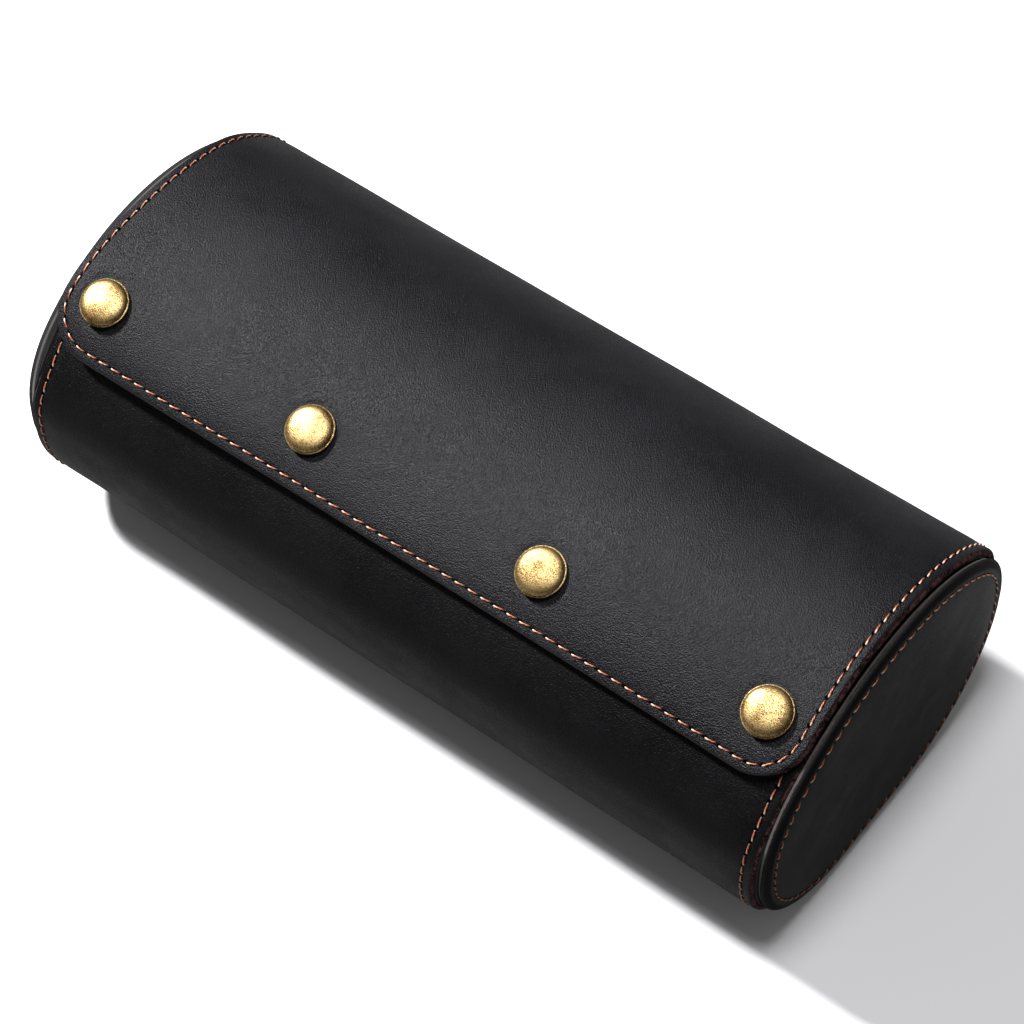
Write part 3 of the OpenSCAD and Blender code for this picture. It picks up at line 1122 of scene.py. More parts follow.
@dataclass(frozen=True)
class Hide:
    """Waxed black leather with a soft sheen."""

    name: str = "waxed_hide"
    dark: Colour = (0.0032, 0.0032, 0.0046)
    pale: Colour = (0.0118, 0.0117, 0.0152)
    # Pale colour of the outermost edge band: edge wear and a painted highlight.
    worn: Colour = (0.040, 0.038, 0.038)
    # Colour of the painted shade in the needle holes, along the seam groove and in a rim band.
    hole: Colour = (0.0012, 0.0010, 0.0010)
    rough: float = 0.42
    shine: float = 0.27
    seam_pitch: float = 3.7
    grain_depth: float = 0.00021
    sewn: bool = True
    # Width in millimetres of a band along the rim that is painted in shade; 0 leaves none.
    rim_shade_width: float = 0.0

    def make(self) -> Material:
        """Builds the material.

        Returns:
            The material.
        """
        material, w, shader, where = new_material(self.name)
        given = {"Place": where, "Pebble Scale": 3000.0, "Hairline": 0.06}
        grain = w.add("ShaderNodeGroup", given, node_tree=grain_group()).outputs
        worn = w.add("ShaderNodeGroup", {"Place": where, "Seed": 0.35}, node_tree=handling_group()).outputs
        tone = w.total((worn["Clouds"], 0.55), (worn["Scuffs"], 0.35))
        tone = w.math("SUBTRACT", tone, w.math("MULTIPLY", grain["Pores"], 0.22))
        colour = w.blend(w.math("MAXIMUM", tone, 0.0), self.dark, self.pale)
        normal = w.bump(grain["Height"], 0.9, self.grain_depth)
        if self.sewn:
            colour, normal = self.sew(w, shader, where, colour, normal)
        rough = w.total((worn["Gloss"], 0.12), (self.rough - 0.05, 1), (worn["Scuffs"], 0.1))
        w.fill(shader, {"Base Color": colour, "Roughness": rough, "Normal": normal})
        return material

    def sew(
        self, w: Wiring, shader: bpy.types.Node, where: Socket, colour: Socket, normal: Socket
    ) -> tuple[Socket, Socket]:
        """Adds what goes with a seam: a pale rim that is partly wear and partly painted highlight, painted
        shade in the groove, the needle holes and a rim band, and creases round the studs.

        Args:
            w: Wiring of the material.
            shader: Its Principled BSDF.
            where: Object coordinates.
            colour: Colour of the plain hide.
            normal: Normal of the plain hide.

        Returns:
            The new colour and normal.
        """
        rim = w.mark("rim")
        # The outermost edge band turns paler: partly edge wear, partly a painted highlight where the rounded
        # edge catches the light.
        edge_wear_and_highlight = w.ramp(rim, 0.12, 0.6, 1.0, 0.0)
        colour = w.blend(w.math("MULTIPLY", edge_wear_and_highlight, 0.6), colour, self.worn)
        # Painted shade in the needle holes and along the seam's sunk groove, in the hole colour; these spots
        # also lose their shine.
        hole = self.hole_mask(w)
        groove_shade = w.ramp(w.math("ABSOLUTE", w.mark("across")), 0.1, 0.5, 0.75, 0.0)
        dark = w.math("MAXIMUM", w.ramp(hole, 0.25, 0.9, 0.0, 1.0), groove_shade)
        # Painted shade: a band along the rim is darkened and loses its shine, for the shade in the gap
        # beside the neighbouring piece.
        dark = w.math("MAXIMUM", dark, w.ramp(rim, self.rim_shade_width - 1.6, self.rim_shade_width, 0.6, 0.0))
        colour = w.blend(dark, colour, self.hole)
        normal = w.bump(w.math("MULTIPLY", hole, -1.0), 0.8, 0.0004, Normal=normal)
        w.feed(shader.inputs["Specular IOR Level"], w.ramp(dark, 0.0, 1.0, self.shine, 0.03))
        w.feed(shader.inputs["IOR"], w.ramp(dark, 0.0, 0.85, 1.5, 1.15))
        stud = w.mark("stud_away")
        folds = w.ramp(w.noise(where, 330.0, 5.0, Roughness=0.7), 0.52, 0.68, 0.0, -1.0)
        creased = w.math("MULTIPLY", w.ramp(stud, 6.6, 12.0, 1.0, 0.0), folds)
        ring = w.math("ABSOLUTE", w.math("SUBTRACT", stud, 6.9))
        creased = w.math("ADD", creased, w.ramp(ring, 0.0, 0.7, -0.35, 0.0))
        return colour, w.bump(creased, 0.4, 0.0003, Normal=normal)

    def hole_mask(self, w: Wiring) -> Socket:
        """Mask that is 1 at the needle holes, which lie at whole numbers of the seam attribute.

        Args:
            w: Wiring of the material.

        Returns:
            The mask.
        """
        turn = w.math("ABSOLUTE", w.math("SUBTRACT", w.math("FRACT", w.mark("seam")), 0.5))
        along = w.math("MULTIPLY", w.math("SUBTRACT", 0.5, turn), self.seam_pitch)
        off = w.math("MULTIPLY", w.mark("across"), 0.85)
        away = w.math("SQRT", w.math("ADD", w.math("POWER", along, 2.0), w.math("POWER", off, 2.0)))
        return w.ramp(away, 0.16, 0.56, 1.0, 0.0)


@dataclass(frozen=True)
class RawEdge:
    """Cut edge of the hide: fuzzy, dark brown fibres."""

    name: str = "raw_edge"
    dark: Colour = (0.006, 0.003, 0.0035)
    pale: Colour = (0.17, 0.075, 0.08)

    def make(self) -> Material:
        """Builds the material.

        Returns:
            The material.
        """
        material, w, shader, where = new_material(self.name)
        fleck = w.noise(where, 1500.0, 4.0, Roughness=0.85)
        layer = w.noise(where, 500.0, 3.0)
        mix = w.ramp(w.total((fleck, 1), (layer, 0.5)), 0.66, 0.9, 0.0, 1.0)
        w.fill(shader, {
            "Base Color": w.blend(mix, self.dark, self.pale),
            "Roughness": 0.92,
            "Specular IOR Level": 0.15,
            "Normal": w.bump(fleck, 0.9, 0.0003),
        })
        return material


@dataclass(frozen=True)
class Suede:
    """Short brushed nap of the lining and the pillows."""

    name: str = "suede"
    dark: Colour = (0.040, 0.038, 0.036)
    pale: Colour = (0.095, 0.090, 0.085)

    def make(self) -> Material:
        """Builds the material.

        Returns:
            The material.
        """
        material, w, shader, where = new_material(self.name)
        nap = w.noise(where, 3200.0, 4.0, Roughness=0.75)
        brush = w.noise(where, 55.0, 4.0, Roughness=0.6, Distortion=1.2)
        mix = w.ramp(w.total((nap, 0.5), (brush, 0.6)), 0.3, 0.85, 0, 1)
        w.fill(shader, {
            "Base Color": w.blend(mix, self.dark, self.pale),
            "Roughness": 0.95,
            "Specular IOR Level": 0.2,
            "Sheen Weight": 0.5,
            "Sheen Roughness": 0.5,
            "Normal": w.bump(nap, 0.5, 0.0002),
        })
        return material


@dataclass(frozen=True)
class Board:
    """Black fibre board with grey flecks."""

    name: str = "fibre_board"
    dark: Colour = (0.004, 0.004, 0.0045)
    pale: Colour = (0.016, 0.015, 0.015)

    def make(self) -> Material:
        """Builds the material.

        Returns:
            The material.
        """
        material, w, shader, where = new_material(self.name)
        fleck = w.noise(where, 900.0, 5.0, Roughness=0.7)
        w.fill(shader, {
            "Base Color": w.blend(fleck, self.dark, self.pale),
            "Roughness": 0.9,
            "Normal": w.bump(fleck, 0.4, 0.0002),
        })
        return material


@dataclass(frozen=True)
class AntiqueBrass:
    """Brushed brass, toned darker in its marks."""

    name: str = "antique_brass"
    bright: Colour = (0.66, 0.48, 0.22)
    toned: Colour = (0.13, 0.07, 0.018)
    rough: float = 0.4

    def make(self) -> Material:
        """Builds the material.

        Returns:
            The material.
        """
        material, w, shader, where = new_material(self.name)
        along = w.stretched(where, (0.3, 0.2, 0.9), (900.0, 5200.0, 2500.0))
        strokes = w.noise(along, 1.0, 3.0, Roughness=0.7)
        mottle = w.noise(where, 4200.0, 2.0, Roughness=0.8)
        patch = w.noise(where, 190.0, 3.0)
        mix = w.ramp(w.total((strokes, 0.35), (mottle, 0.85), (patch, 0.35)), 0.7, 0.84, 0.0, 1.0)
        w.fill(shader, {
            "Base Color": w.blend(mix, self.toned, self.bright),
            "Roughness": w.ramp(mix, 0.0, 1.0, self.rough + 0.16, self.rough),
            "Metallic": 1.0,
            "Normal": w.bump(w.total((strokes, 1), (mottle, 0.8)), 0.4, 0.0001),
        })
        return material


@dataclass(frozen=True)
class Thread:
    """Waxed rust thread of two twisted plies."""

    name: str = "rust_thread"
    light: Colour = (0.62, 0.19, 0.075)
    deep: Colour = (0.11, 0.020, 0.010)
    # Pale colour painted on the end of each stitch as a highlight.
    tip_highlight: Colour = (0.95, 0.62, 0.46)

    def make(self) -> Material:
        """Builds the material.

        Returns:
            The material.
        """
        material, w, shader, where = new_material(self.name)
        along = w.mark("strand_u")
        twist = w.total((along, 3.5), (w.mark("strand_v"), 2.0))
        ply = w.math("ABSOLUTE", w.math("SINE", w.math("MULTIPLY", twist, math.pi)))
        mix = w.total((ply, 0.6), (w.noise(where, 3000.0, 3.0), 0.5))
        colour = w.blend(w.ramp(mix, 0.15, 0.85, 0, 1), self.deep, self.light)
        # Painted highlight on the end of each stitch, and painted shade on its start where the thread dives
        # into its hole.
        colour = w.blend(w.ramp(along, 0.58, 0.74, 0.0, 0.9), colour, self.tip_highlight)
        colour = w.blend(w.ramp(along, 0.22, 0.42, 0.75, 0.0), colour, self.deep)
        w.fill(shader, {
            "Base Color": colour,
            "Roughness": 0.33,
            "Specular IOR Level": 0.8,
            "Normal": w.bump(ply, 0.6, 0.00012),
        })
        return material


# Stitching.


def convert(name: str, guide_mesh: bpy.types.Mesh, tree: bpy.types.NodeTree, values: dict) -> Object:
    """Runs a Geometry Nodes tree over a guide and keeps the result as a plain mesh.

    Args:
        name: Name of the piece.
        guide_mesh: Mesh that the tree starts from.
        tree: The tree.
        values: Values of its inputs by name.

    Returns:
        The piece, with no modifier.
    """
    guide = put_in_scene(name + "_guide", guide_mesh)
    modifier = guide.modifiers.new("nodes", "NODES")
    modifier.node_group = tree
    for item in tree.interface.items_tree:
        if item.name in values:
            modifier[item.identifier] = values[item.name]
    apply_modifiers(guide)
    done = guide.data
    bpy.data.objects.remove(guide)
    done.name = name
    return put_in_scene(name, done)


def apply_modifiers(piece: Object) -> None:
    """Turns the modifiers of a piece into its mesh.

    Args:
        piece: The piece.
    """
    bpy.context.view_layer.update()
    seen = piece.evaluated_get(bpy.context.evaluated_depsgraph_get())
    mesh = bpy.data.meshes.new_from_object(seen)
    piece.modifiers.clear()
    piece.data = mesh


@dataclass
class StitchTree:
    """Geometry Nodes tree that sews stitches along a path on a surface."""

    thread: Material
    pitch: float = 3.7
    stitch_len: float = 3.1
    thread_r: float = 0.2
    crown: float = 0.34
    bite: float = 0.42
    slant: float = 6.0
    seed: int = 7

    @cached_property
    def tree(self) -> bpy.types.NodeTree:
        """The tree, built once."""
        sizes = ("Stitch Length", "Thread Radius", "Crown", "Bite", "Slant")
        w, given, made = tree_with(
            "SewnStitches",
            {"Geometry": GEOMETRY, **dict.fromkeys(sizes, FLOAT), "Stitches": "NodeSocketInt",
             "Seed": "NodeSocketInt", "Thread": "NodeSocketMaterial"},
            {"Geometry": GEOMETRY},
            "GeometryNodeTree",
        )
        half = w.math("MULTIPLY", given["Stitch Length"], 0.5)
        low = w.math("MULTIPLY", given["Bite"], -1.0)
        rise = w.math("DIVIDE", w.total((given["Crown"], 1), (given["Bite"], 0.25)), 0.75)
        slack = w.math("MULTIPLY", rise, 0.75)
        taut = w.math("MULTIPLY", rise, 1.25)
        bow = w.add(
            "GeometryNodeCurvePrimitiveBezierSegment",
            {
                "Resolution": 8,
                "Start": w.vector(w.math("MULTIPLY", half, -1.0), z=low),
                "Start Handle": w.vector(w.math("MULTIPLY", half, -0.72), z=slack),
                "End Handle": w.vector(w.math("MULTIPLY", half, 0.8), z=taut),
                "End": w.vector(half, z=low),
            },
            mode="POSITION",
        ).outputs[0]
        ring = w.add("GeometryNodeCurvePrimitiveCircle", {"Resolution": 8, "Radius": given["Thread Radius"]})
        rail, along = w.with_factor(bow, "u")
        profile, around = w.with_factor(ring.outputs[0], "v")
        shape = {"Curve": rail, "Profile Curve": profile, "Fill Caps": True}
        tube = w.add("GeometryNodeCurveToMesh", shape).outputs[0]
        for name, value in (("strand_u", along), ("strand_v", around)):
            kept = {"Geometry": tube, "Name": name, "Value": value}
            store = w.add("GeometryNodeStoreNamedAttribute", kept, data_type="FLOAT", domain="POINT")
            tube = store.outputs[0]
        path = w.add("GeometryNodeMeshToCurve", {"Mesh": given["Geometry"]}).outputs[0]
        spots = w.add("GeometryNodeResampleCurve", {"Curve": path, "Count": given["Stitches"]}).outputs[0]
        up = w.add("GeometryNodeInputNamedAttribute", {"Name": "seam_up"}, data_type="FLOAT_VECTOR")
        ahead = w.add("GeometryNodeInputTangent").outputs[0]
        lined = w.add("FunctionNodeAlignRotationToVector", {"Vector": ahead}, axis="X").outputs[0]
        aims = {"Rotation": lined, "Vector": up.outputs[0]}
        stood = w.add("FunctionNodeAlignRotationToVector", aims, axis="Z", pivot_axis="X").outputs[0]
        turn = w.math("ADD", given["Slant"], w.random(given["Seed"], -0.05, 0.05))
        size = w.vector(w.random(given["Seed"], 0.94, 1.04), 1.0, 0.85)
        sewn = w.scatter(spots, tube, stood, w.vector(z=turn), size)
        smooth = w.add("GeometryNodeSetShadeSmooth", {"Geometry": sewn}).outputs[0]
        rim_shade_width = w.add("GeometryNodeSetMaterial", {"Geometry": smooth, "Material": given["Thread"]}).outputs[0]
        w.feed(made["Geometry"], rim_shade_width)
        return w.tree

    def sew(self, name: str, path: Numbers, ups: Numbers, stitches: int) -> Object:
        """Sews stitches along a path.

        Args:
            name: Name of the piece.
            path: Points of the path in millimetres.
            ups: Outward normals at the points.
            stitches: Number of stitches.

        Returns:
            One plain mesh object with all the stitches.
        """
        mesh = bpy.data.meshes.new(name + "_path")
        mesh.from_pydata((path * MM).tolist(), [(i, i + 1) for i in range(len(path) - 1)], [])
        layer = mesh.attributes.new("seam_up", "FLOAT_VECTOR", "POINT")
        layer.data.foreach_set("vector", np.asarray(ups, np.float32).ravel())
        return convert(name, mesh, self.tree, {
            "Stitch Length": self.stitch_len * MM,
            "Thread Radius": self.thread_r * MM,
            "Crown": self.crown * MM,
            "Bite": self.bite * MM,
            "Slant": math.radians(self.slant),
            "Stitches": stitches,
            "Seed": self.seed + len(name),
            "Thread": self.thread,
        })

    def count(self, length: float) -> int:
        """Number of stitches in a length.

        Args:
            length: The length, in millimetres.

        Returns:
            The number.
        """
        return max(1, round(length / self.pitch))


def seam_line(xs: Numbers, runs: Numbers, count: int, lift: float) -> tuple[Numbers, Numbers]:
    """Path of a seam on the wrap, from the middle of its first stitch to that of its last.

    Args:
        xs: Places across the roll of a fine line.
        runs: Lengths along the wrap of that line.
        count: Number of stitches.
        lift: Height above the leather's outer face.

    Returns:
        Points in millimetres and outward normals.
    """
    along = np.concatenate([[0], np.cumsum(np.hypot(np.diff(xs), np.diff(runs)))])
    pitch = along[-1] / count
    wanted = np.linspace(pitch / 2, (count - 0.5) * pitch, count * PATH_STEPS + 1)
    x, run = np.interp(wanted, along, xs), np.interp(wanted, along, runs)
    points = WRAP.place(x, run, RELIEF.slow(x, run) + lift)
    _, _, ny, nz = WRAP.frame(run)
    return points, np.stack([0 * ny, ny, nz], -1)


# Raw fibres.


@dataclass
class EdgeFuzz:
    """Geometry Nodes tree that grows short fibres out of a cut edge."""

    fibre: Material
    length: float = 0.9
    thick: float = 0.065
    per_square: float = 10.0
    skived: float = 0.65
    seed: int = 11

    @cached_property
    def tree(self) -> bpy.types.NodeTree:
        """The tree, built once."""
        sizes = ("Fibre Length", "Fibre Radius", "Density")
        w, given, made = tree_with(
            "CutEdgeFuzz",
            {"Geometry": GEOMETRY, **dict.fromkeys(sizes, FLOAT), "Seed": "NodeSocketInt",
             "Fibre": "NodeSocketMaterial"},
            {"Geometry": GEOMETRY},
            "GeometryNodeTree",
        )
        length, seed = given["Fibre Length"], given["Seed"]
        bow = w.add("GeometryNodeCurveQuadraticBezier", {
            "Resolution": 3,
            "Start": (0.0, 0.0, 0.0),
            "Middle": w.vector(z=w.math("MULTIPLY", length, 0.6)),
            "End": w.vector(w.math("MULTIPLY", length, 0.35), z=length),
        }).outputs[0]
        along = w.add("GeometryNodeSplineParameter").outputs["Factor"]
        thin = w.math("SUBTRACT", 1.0, w.math("MULTIPLY", along, 0.7))
        ring = {"Resolution": 3, "Radius": given["Fibre Radius"]}
        ring = w.add("GeometryNodeCurvePrimitiveCircle", ring).outputs[0]
        shaped = w.add("GeometryNodeSetCurveRadius", {"Curve": bow, "Radius": thin}).outputs[0]
        shape = {"Curve": shaped, "Profile Curve": ring, "Fill Caps": True}
        hair = w.add("GeometryNodeCurveToMesh", shape).outputs[0]
        sown = {"Mesh": given["Geometry"], "Density": given["Density"], "Seed": seed}
        spots = w.add("GeometryNodeDistributePointsOnFaces", sown).outputs
        lean = w.random(seed, (-0.75, -0.75, -3.1), (0.75, 0.75, 3.1))
        size = w.random(seed, 0.45, 1.15)
        grown = w.scatter(spots["Points"], hair, spots["Rotation"], lean, size)
        rim_shade_width = w.add("GeometryNodeSetMaterial", {"Geometry": grown, "Material": given["Fibre"]}).outputs[0]
        w.feed(made["Geometry"], rim_shade_width)
        return w.tree

    def grow(self, name: str, x: float, runs: Numbers, top: float, under: float, lift: Numbers) -> Object:
        """Grows the fibres of one side edge of the wrap.

        Args:
            name: Name of the piece.
            x: Place of the edge across the roll.
            runs: Lengths along the wrap.
            top: Height of the edge's upper side over the wrap's outer face.
            under: Height of its lower side.
            lift: Rise of the leather at the runs.

        Returns:
            The piece.
        """
        side = math.copysign(1.0, x)
        upper = WRAP.place(np.full(len(runs), x - self.skived * side), runs, top + lift)
        lower = WRAP.place(np.full(len(runs), x), runs, under + lift)
        count = len(runs)
        order = [(i, i + 1, count + i + 1, count + i) for i in range(count - 1)]
        if side > 0:
            order = [quad[::-1] for quad in order]
        mesh = bpy.data.meshes.new(name + "_wall")
        mesh.from_pydata((np.concatenate([upper, lower]) * MM).tolist(), [], order)
        return convert(name, mesh, self.tree, {
            "Fibre Length": self.length * MM,
            "Fibre Radius": self.thick * MM,
            "Density": self.per_square / MM**2,
            "Seed": self.seed + len(name),
            "Fibre": self.fibre,
        })


# Leather wrap.


# Stretches before and after a bend line over which the leather turns.
FOLD_SPAN = (2.4, 2.4)
FLEX_SPAN = (2.0, 18.0)
# Run at which the leather begins at the mouth, and points of a seam's path for each stitch.
MOUTH_RUN = 1.0
PATH_STEPS = 4


def span_ends(run: float, span: tuple[float, float]) -> list[tuple[float, float, float]]:
    """Points on the wrap before and after a run, in metres.

    Args:
        run: Length along the wrap.
        span: Distances before and after it.

    Returns:
        The two points.
    """
    runs = np.array([run - span[0], run + span[1]])
    return [tuple(point) for point in WRAP.place(np.zeros(2), runs, 0.0) * MM]


def blend_fold(piece: Object) -> None:
    """Bakes the transform of a piece that lies across the fold behind the flap; the piece is not bent.

    Args:
        piece: Piece with no parent.
    """
    ends = span_ends(FOLD_RUN, FOLD_SPAN)
    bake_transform(piece)


def blend_flex(piece: Object) -> None:
    """Bakes the transform of a piece that lies across the line where the flap's front flexes; the piece is
    not bent.

    Args:
        piece: Piece with no parent.
    """
    ends = span_ends(TOP_RUN, FLEX_SPAN)
    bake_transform(piece)


def fasten(piece: Object, part: str) -> None:
    """Attaches a piece of the body to the trough so that it moves with it; a piece of the fold or the flap
    only has its transform baked.

    Args:
        piece: Piece with no parent.
        part: Stretch that it belongs to: body, fold or flap.
    """
    if part == "body":
        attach(piece, Body.TROUGH.value)
    elif part == "fold":
        blend_fold(piece)
    else:
        blend_flex(piece)


@dataclass
class Wrap:
    """Leather that goes round the roll and over it as the flap, with its stitches."""

    hide: Material
    # Darker copy of the hide for the body's stretch: painted shade.
    shaded_body_hide: Material
    raw: Material
    stitches: StitchTree
    fuzz: EdgeFuzz
    leather_t: float = 1.3
    hem_t: float = 1.95
    step: float = 1.25
    strip_step: float = 1.625
    rough: float = 0.09
    seam_lift: float = -0.12
    widening: float = 12.0
    fuzz_start: float = 1.5
    fuzz_top: float = -0.4
    fuzz_over: float = 0.1
    fuzz_steps: int = 160
    line_steps: int = 400

    def half(self, run: float) -> float:
        """Half width of the leather, which widens across the fold.

        Args:
            run: Length along the wrap.

        Returns:
            Half of the width.
        """
        t = min(max((run - FOLD_RUN + self.widening / 2) / self.widening, 0), 1)
        return SIZES.body_half + (SIZES.flap_half - SIZES.body_half) * t * t * (3 - 2 * t)

    def build(self) -> list[Object]:
        """Makes the three stretches of the wrap, their seams and their fibres.

        Returns:
            The pieces.
        """
        body = self.strip("wrap_body", MOUTH_RUN, BOTTOM_RUN, self.shaded_body_hide)
        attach(body, Body.TROUGH.value)
        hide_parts("body_leather")
        fold = self.strip("wrap_fold", BOTTOM_RUN, JOIN_RUN, self.hide)
        blend_fold(fold)
        xs, runs = self.flap_line()
        count = self.stitches.count(float(np.hypot(np.diff(xs), np.diff(runs)).sum()))
        cut = tongue_cut(JOIN_RUN, LIP_RUN, SIZES.flap_half, SIZES.flap_corner_r, self.step, SIZES.flap_seam)
        cut.seam = cut.seam / cut.seam.max() * count
        flap = sheet_shell(cut, 0, -self.hem_t, True, self.rough).build("wrap_flap", [self.hide, self.raw])
        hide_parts("flap_top_leather", "flap_front_leather")
        blend_flex(flap)
        made = [body, fold, flap]
        path, ups = seam_line(xs, runs, count, self.seam_lift)
        thread = self.stitches.sew("stitches_flap", path, ups, count)
        blend_flex(thread)
        return made + self.sew_sides() + self.grow_edges() + [thread]

    def grow_edges(self) -> list[Object]:
        """Grows the fibres of the side edges.

        Returns:
            The pieces.
        """
        made = []
        flap_end = LIP_RUN - SIZES.flap_corner_r
        for side, word in SIDES:
            for part, start, end, half, thick in (
                ("body", self.fuzz_start, BOTTOM_RUN, SIZES.body_half, self.leather_t),
                ("fold", BOTTOM_RUN, JOIN_RUN, SIZES.body_half, self.leather_t),
                ("flap", JOIN_RUN, flap_end, SIZES.flap_half, self.hem_t),
            ):
                runs = np.linspace(start, end, self.fuzz_steps)
                rise = RELIEF.slow(np.full(len(runs), side * half), runs)
                under = self.fuzz_over - thick
                fuzz = self.fuzz.grow(f"fuzz_{part}_{word}", side * half, runs, self.fuzz_top, under, rise)
                fasten(fuzz, part)
                made.append(fuzz)
        return made

    def strip(self, name: str, start: float, end: float, material: Material) -> Object:
        """Makes one stretch of the wrap between two runs.

        Args:
            name: Name of the piece.
            start: Run at which it begins.
            end: Run at which it ends.
            material: Its hide.

        Returns:
            The piece.
        """
        cut = strip_cut(start, end, self.half, self.strip_step)
        pitch = (end - start) / self.stitches.count(end - start)
        cut.seam = (cut.run - start) / pitch
        return sheet_shell(cut, 0, -self.leather_t, True, self.rough).build(name, [material, self.raw])

    def sew_sides(self) -> list[Object]:
        """Sews the side edges of the body and of the fold.

        Returns:
            The pieces.
        """
        made = []
        for side, word in SIDES:
            for part, start, end in (("body", MOUTH_RUN, BOTTOM_RUN), ("fold", BOTTOM_RUN, JOIN_RUN)):
                runs = np.linspace(start, end, self.line_steps)
                xs = side * (np.array([self.half(s) for s in runs]) - SIZES.body_seam)
                count = self.stitches.count(end - start)
                path, ups = seam_line(xs, runs, count, self.seam_lift)
                thread = self.stitches.sew(f"stitches_{part}_{word}", path, ups, count)
                fasten(thread, part)
                made.append(thread)
        return made

    def flap_line(self) -> tuple[Numbers, Numbers]:
        """Fine line of the flap's seam, along one side, round the lip and back up the other side.

        Returns:
            Places across the roll, and lengths along the wrap.
        """
        corner = SIZES.flap_corner_r - SIZES.flap_seam
        middle = SIZES.flap_half - SIZES.flap_corner_r
        side_x = SIZES.flap_half - SIZES.flap_seam
        straight = self.line_steps // 2
        turns = np.radians(np.linspace(0, 90, straight // 5))
        right_x = np.concatenate([np.full(straight, side_x), middle + corner * np.cos(turns)])
        centre_run = LIP_RUN - SIZES.flap_corner_r
        side_runs = np.linspace(JOIN_RUN, centre_run, straight)
        right_s = np.concatenate([side_runs, centre_run + corner * np.sin(turns)])
        return np.concatenate([right_x, -right_x[::-1]]), np.concatenate([right_s, right_s[::-1]])


@dataclass
class Linings:
    """Inner layers of the trough and the flap. Heights count from the wrap's outer face."""

    suede: Material
    board: Material
    hide: Material
    step: float = 3.0
    end_gap: float = 0.05
    tray: tuple[float, float] = (-3.2, -4.0)
    stiffener: tuple[float, float] = (-1.25, -1.94)
    stiffener_in: float = 4.6
    stiffener_corner: float = 8.6
    lining: tuple[float, float] = (-2.0, -2.6)
    lining_in: float = 0.5
    lining_corner: float = 12.5
    fold_gap: float = 0.3
    stiffener_gap: float = 3.0
    edge_out: float = 0.06
    edge_in: float = -4.12
    edge_reach: float = 9.0
    edge_t: float = 0.55

    def layer(
        self, name: str, cut: Cut, heights: tuple[float, float], material: Material, slot: Slot
    ) -> Object:
        """Makes one layer.

        Args:
            name: Name of the piece.
            cut: Its flat cut.
            heights: Heights of its outer and its inner face.
            material: Material of its faces and its edge.
            slot: Not used.

        Returns:
            The piece.
        """
        shell = sheet_shell(cut, *heights, False, lift=RELIEF.slow)
        piece = shell.build(name, [material, material])
        return piece

    def build(self) -> list[Object]:
        """Makes the tray lining, the flap's stiffener and lining, and the turned edge of the mouth.

        Returns:
            The pieces.
        """
        half = SIZES.core_len / 2 - self.end_gap
        cut = strip_cut(0.0, FOLD_RUN - self.fold_gap, lambda run: half, self.step)
        tray = self.layer("tray_suede", cut, self.tray, self.suede, Slot.LINING)
        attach(tray, Body.TROUGH.value)
        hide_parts("tray_lining")
        cut = self.flap_cut(self.stiffener_gap, self.stiffener_in, self.stiffener_corner)
        stiff = self.layer("flap_stiffener", cut, self.stiffener, self.board, Slot.BOARD)
        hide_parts("flap_top_board", "flap_front_board")
        blend_flex(stiff)
        cut = self.flap_cut(self.fold_gap, self.lining_in, self.lining_corner)
        suede = self.layer("flap_suede", cut, self.lining, self.suede, Slot.LINING)
        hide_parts("flap_top_lining", "flap_front_lining")
        blend_flex(suede)
        return [tray, stiff, suede, self.turned_edge()]

    def flap_cut(self, gap: float, inset: float, corner: float) -> Cut:
        """Cut of a layer of the flap.

        Args:
            gap: Distance from the fold.
            inset: Distance from the leather's edge.
            corner: Radius of the corners.

        Returns:
            The cut.
        """
        return tongue_cut(FOLD_RUN + gap, LIP_RUN - inset, SIZES.flap_half - inset, corner, self.step)

    def turned_edge(self) -> Object:
        """Makes the leather turned over the mouth's edge, in one strip with the lining under it.

        Returns:
            The piece.
        """
        out, inside, reach, drop = self.edge_out, self.edge_in, self.edge_reach, self.edge_t
        round_steps = np.radians(np.linspace(90, -90, 13))
        middle, radius = (out + inside) / 2, (out - inside) / 2
        outer = [(7.0, out - 0.05), (6.0, out)]
        outer += [(0.9 - 1.1 * math.cos(a), middle + radius * math.sin(a)) for a in round_steps]
        outer += [(reach - 1, inside), (reach, inside + 0.05)]
        inner = [(7.0, out - drop), (6.0, out - drop)]
        inner += [(1.1 - 0.6 * math.cos(a), middle + (radius - drop) * math.sin(a)) for a in round_steps]
        inner += [(reach - 1, inside + drop), (reach, inside + drop)]
        loop = np.array(outer + inner[::-1])
        half = SIZES.body_half - 0.2
        xs = np.linspace(-half, half, 120)
        points = np.concatenate([WRAP.place(np.full(len(loop), x), loop[:, 0], loop[:, 1]) for x in xs])
        wide = len(loop)
        faces = ring_quads(len(xs), wide)
        for base in (0, (len(xs) - 1) * wide):
            for i in range(len(outer) - 1):
                faces.append((base + i, base + i + 1, base + wide - 2 - i, base + wide - 1 - i))
        rim = np.full(len(points), 9.0)
        shell = Shell(points, faces, marks=sewing_marks(rim, rim, 0.0, rim + FAR_STUD))
        piece = shell.build("mouth_edge", [self.hide], Body.TROUGH)
        return piece


# End panels.


# Distance that keeps the creases round studs off a piece, and how far each panel is set in.
FAR_STUD = 30
PANEL_TUCK = {"left": 1.3, "right": 0.6}


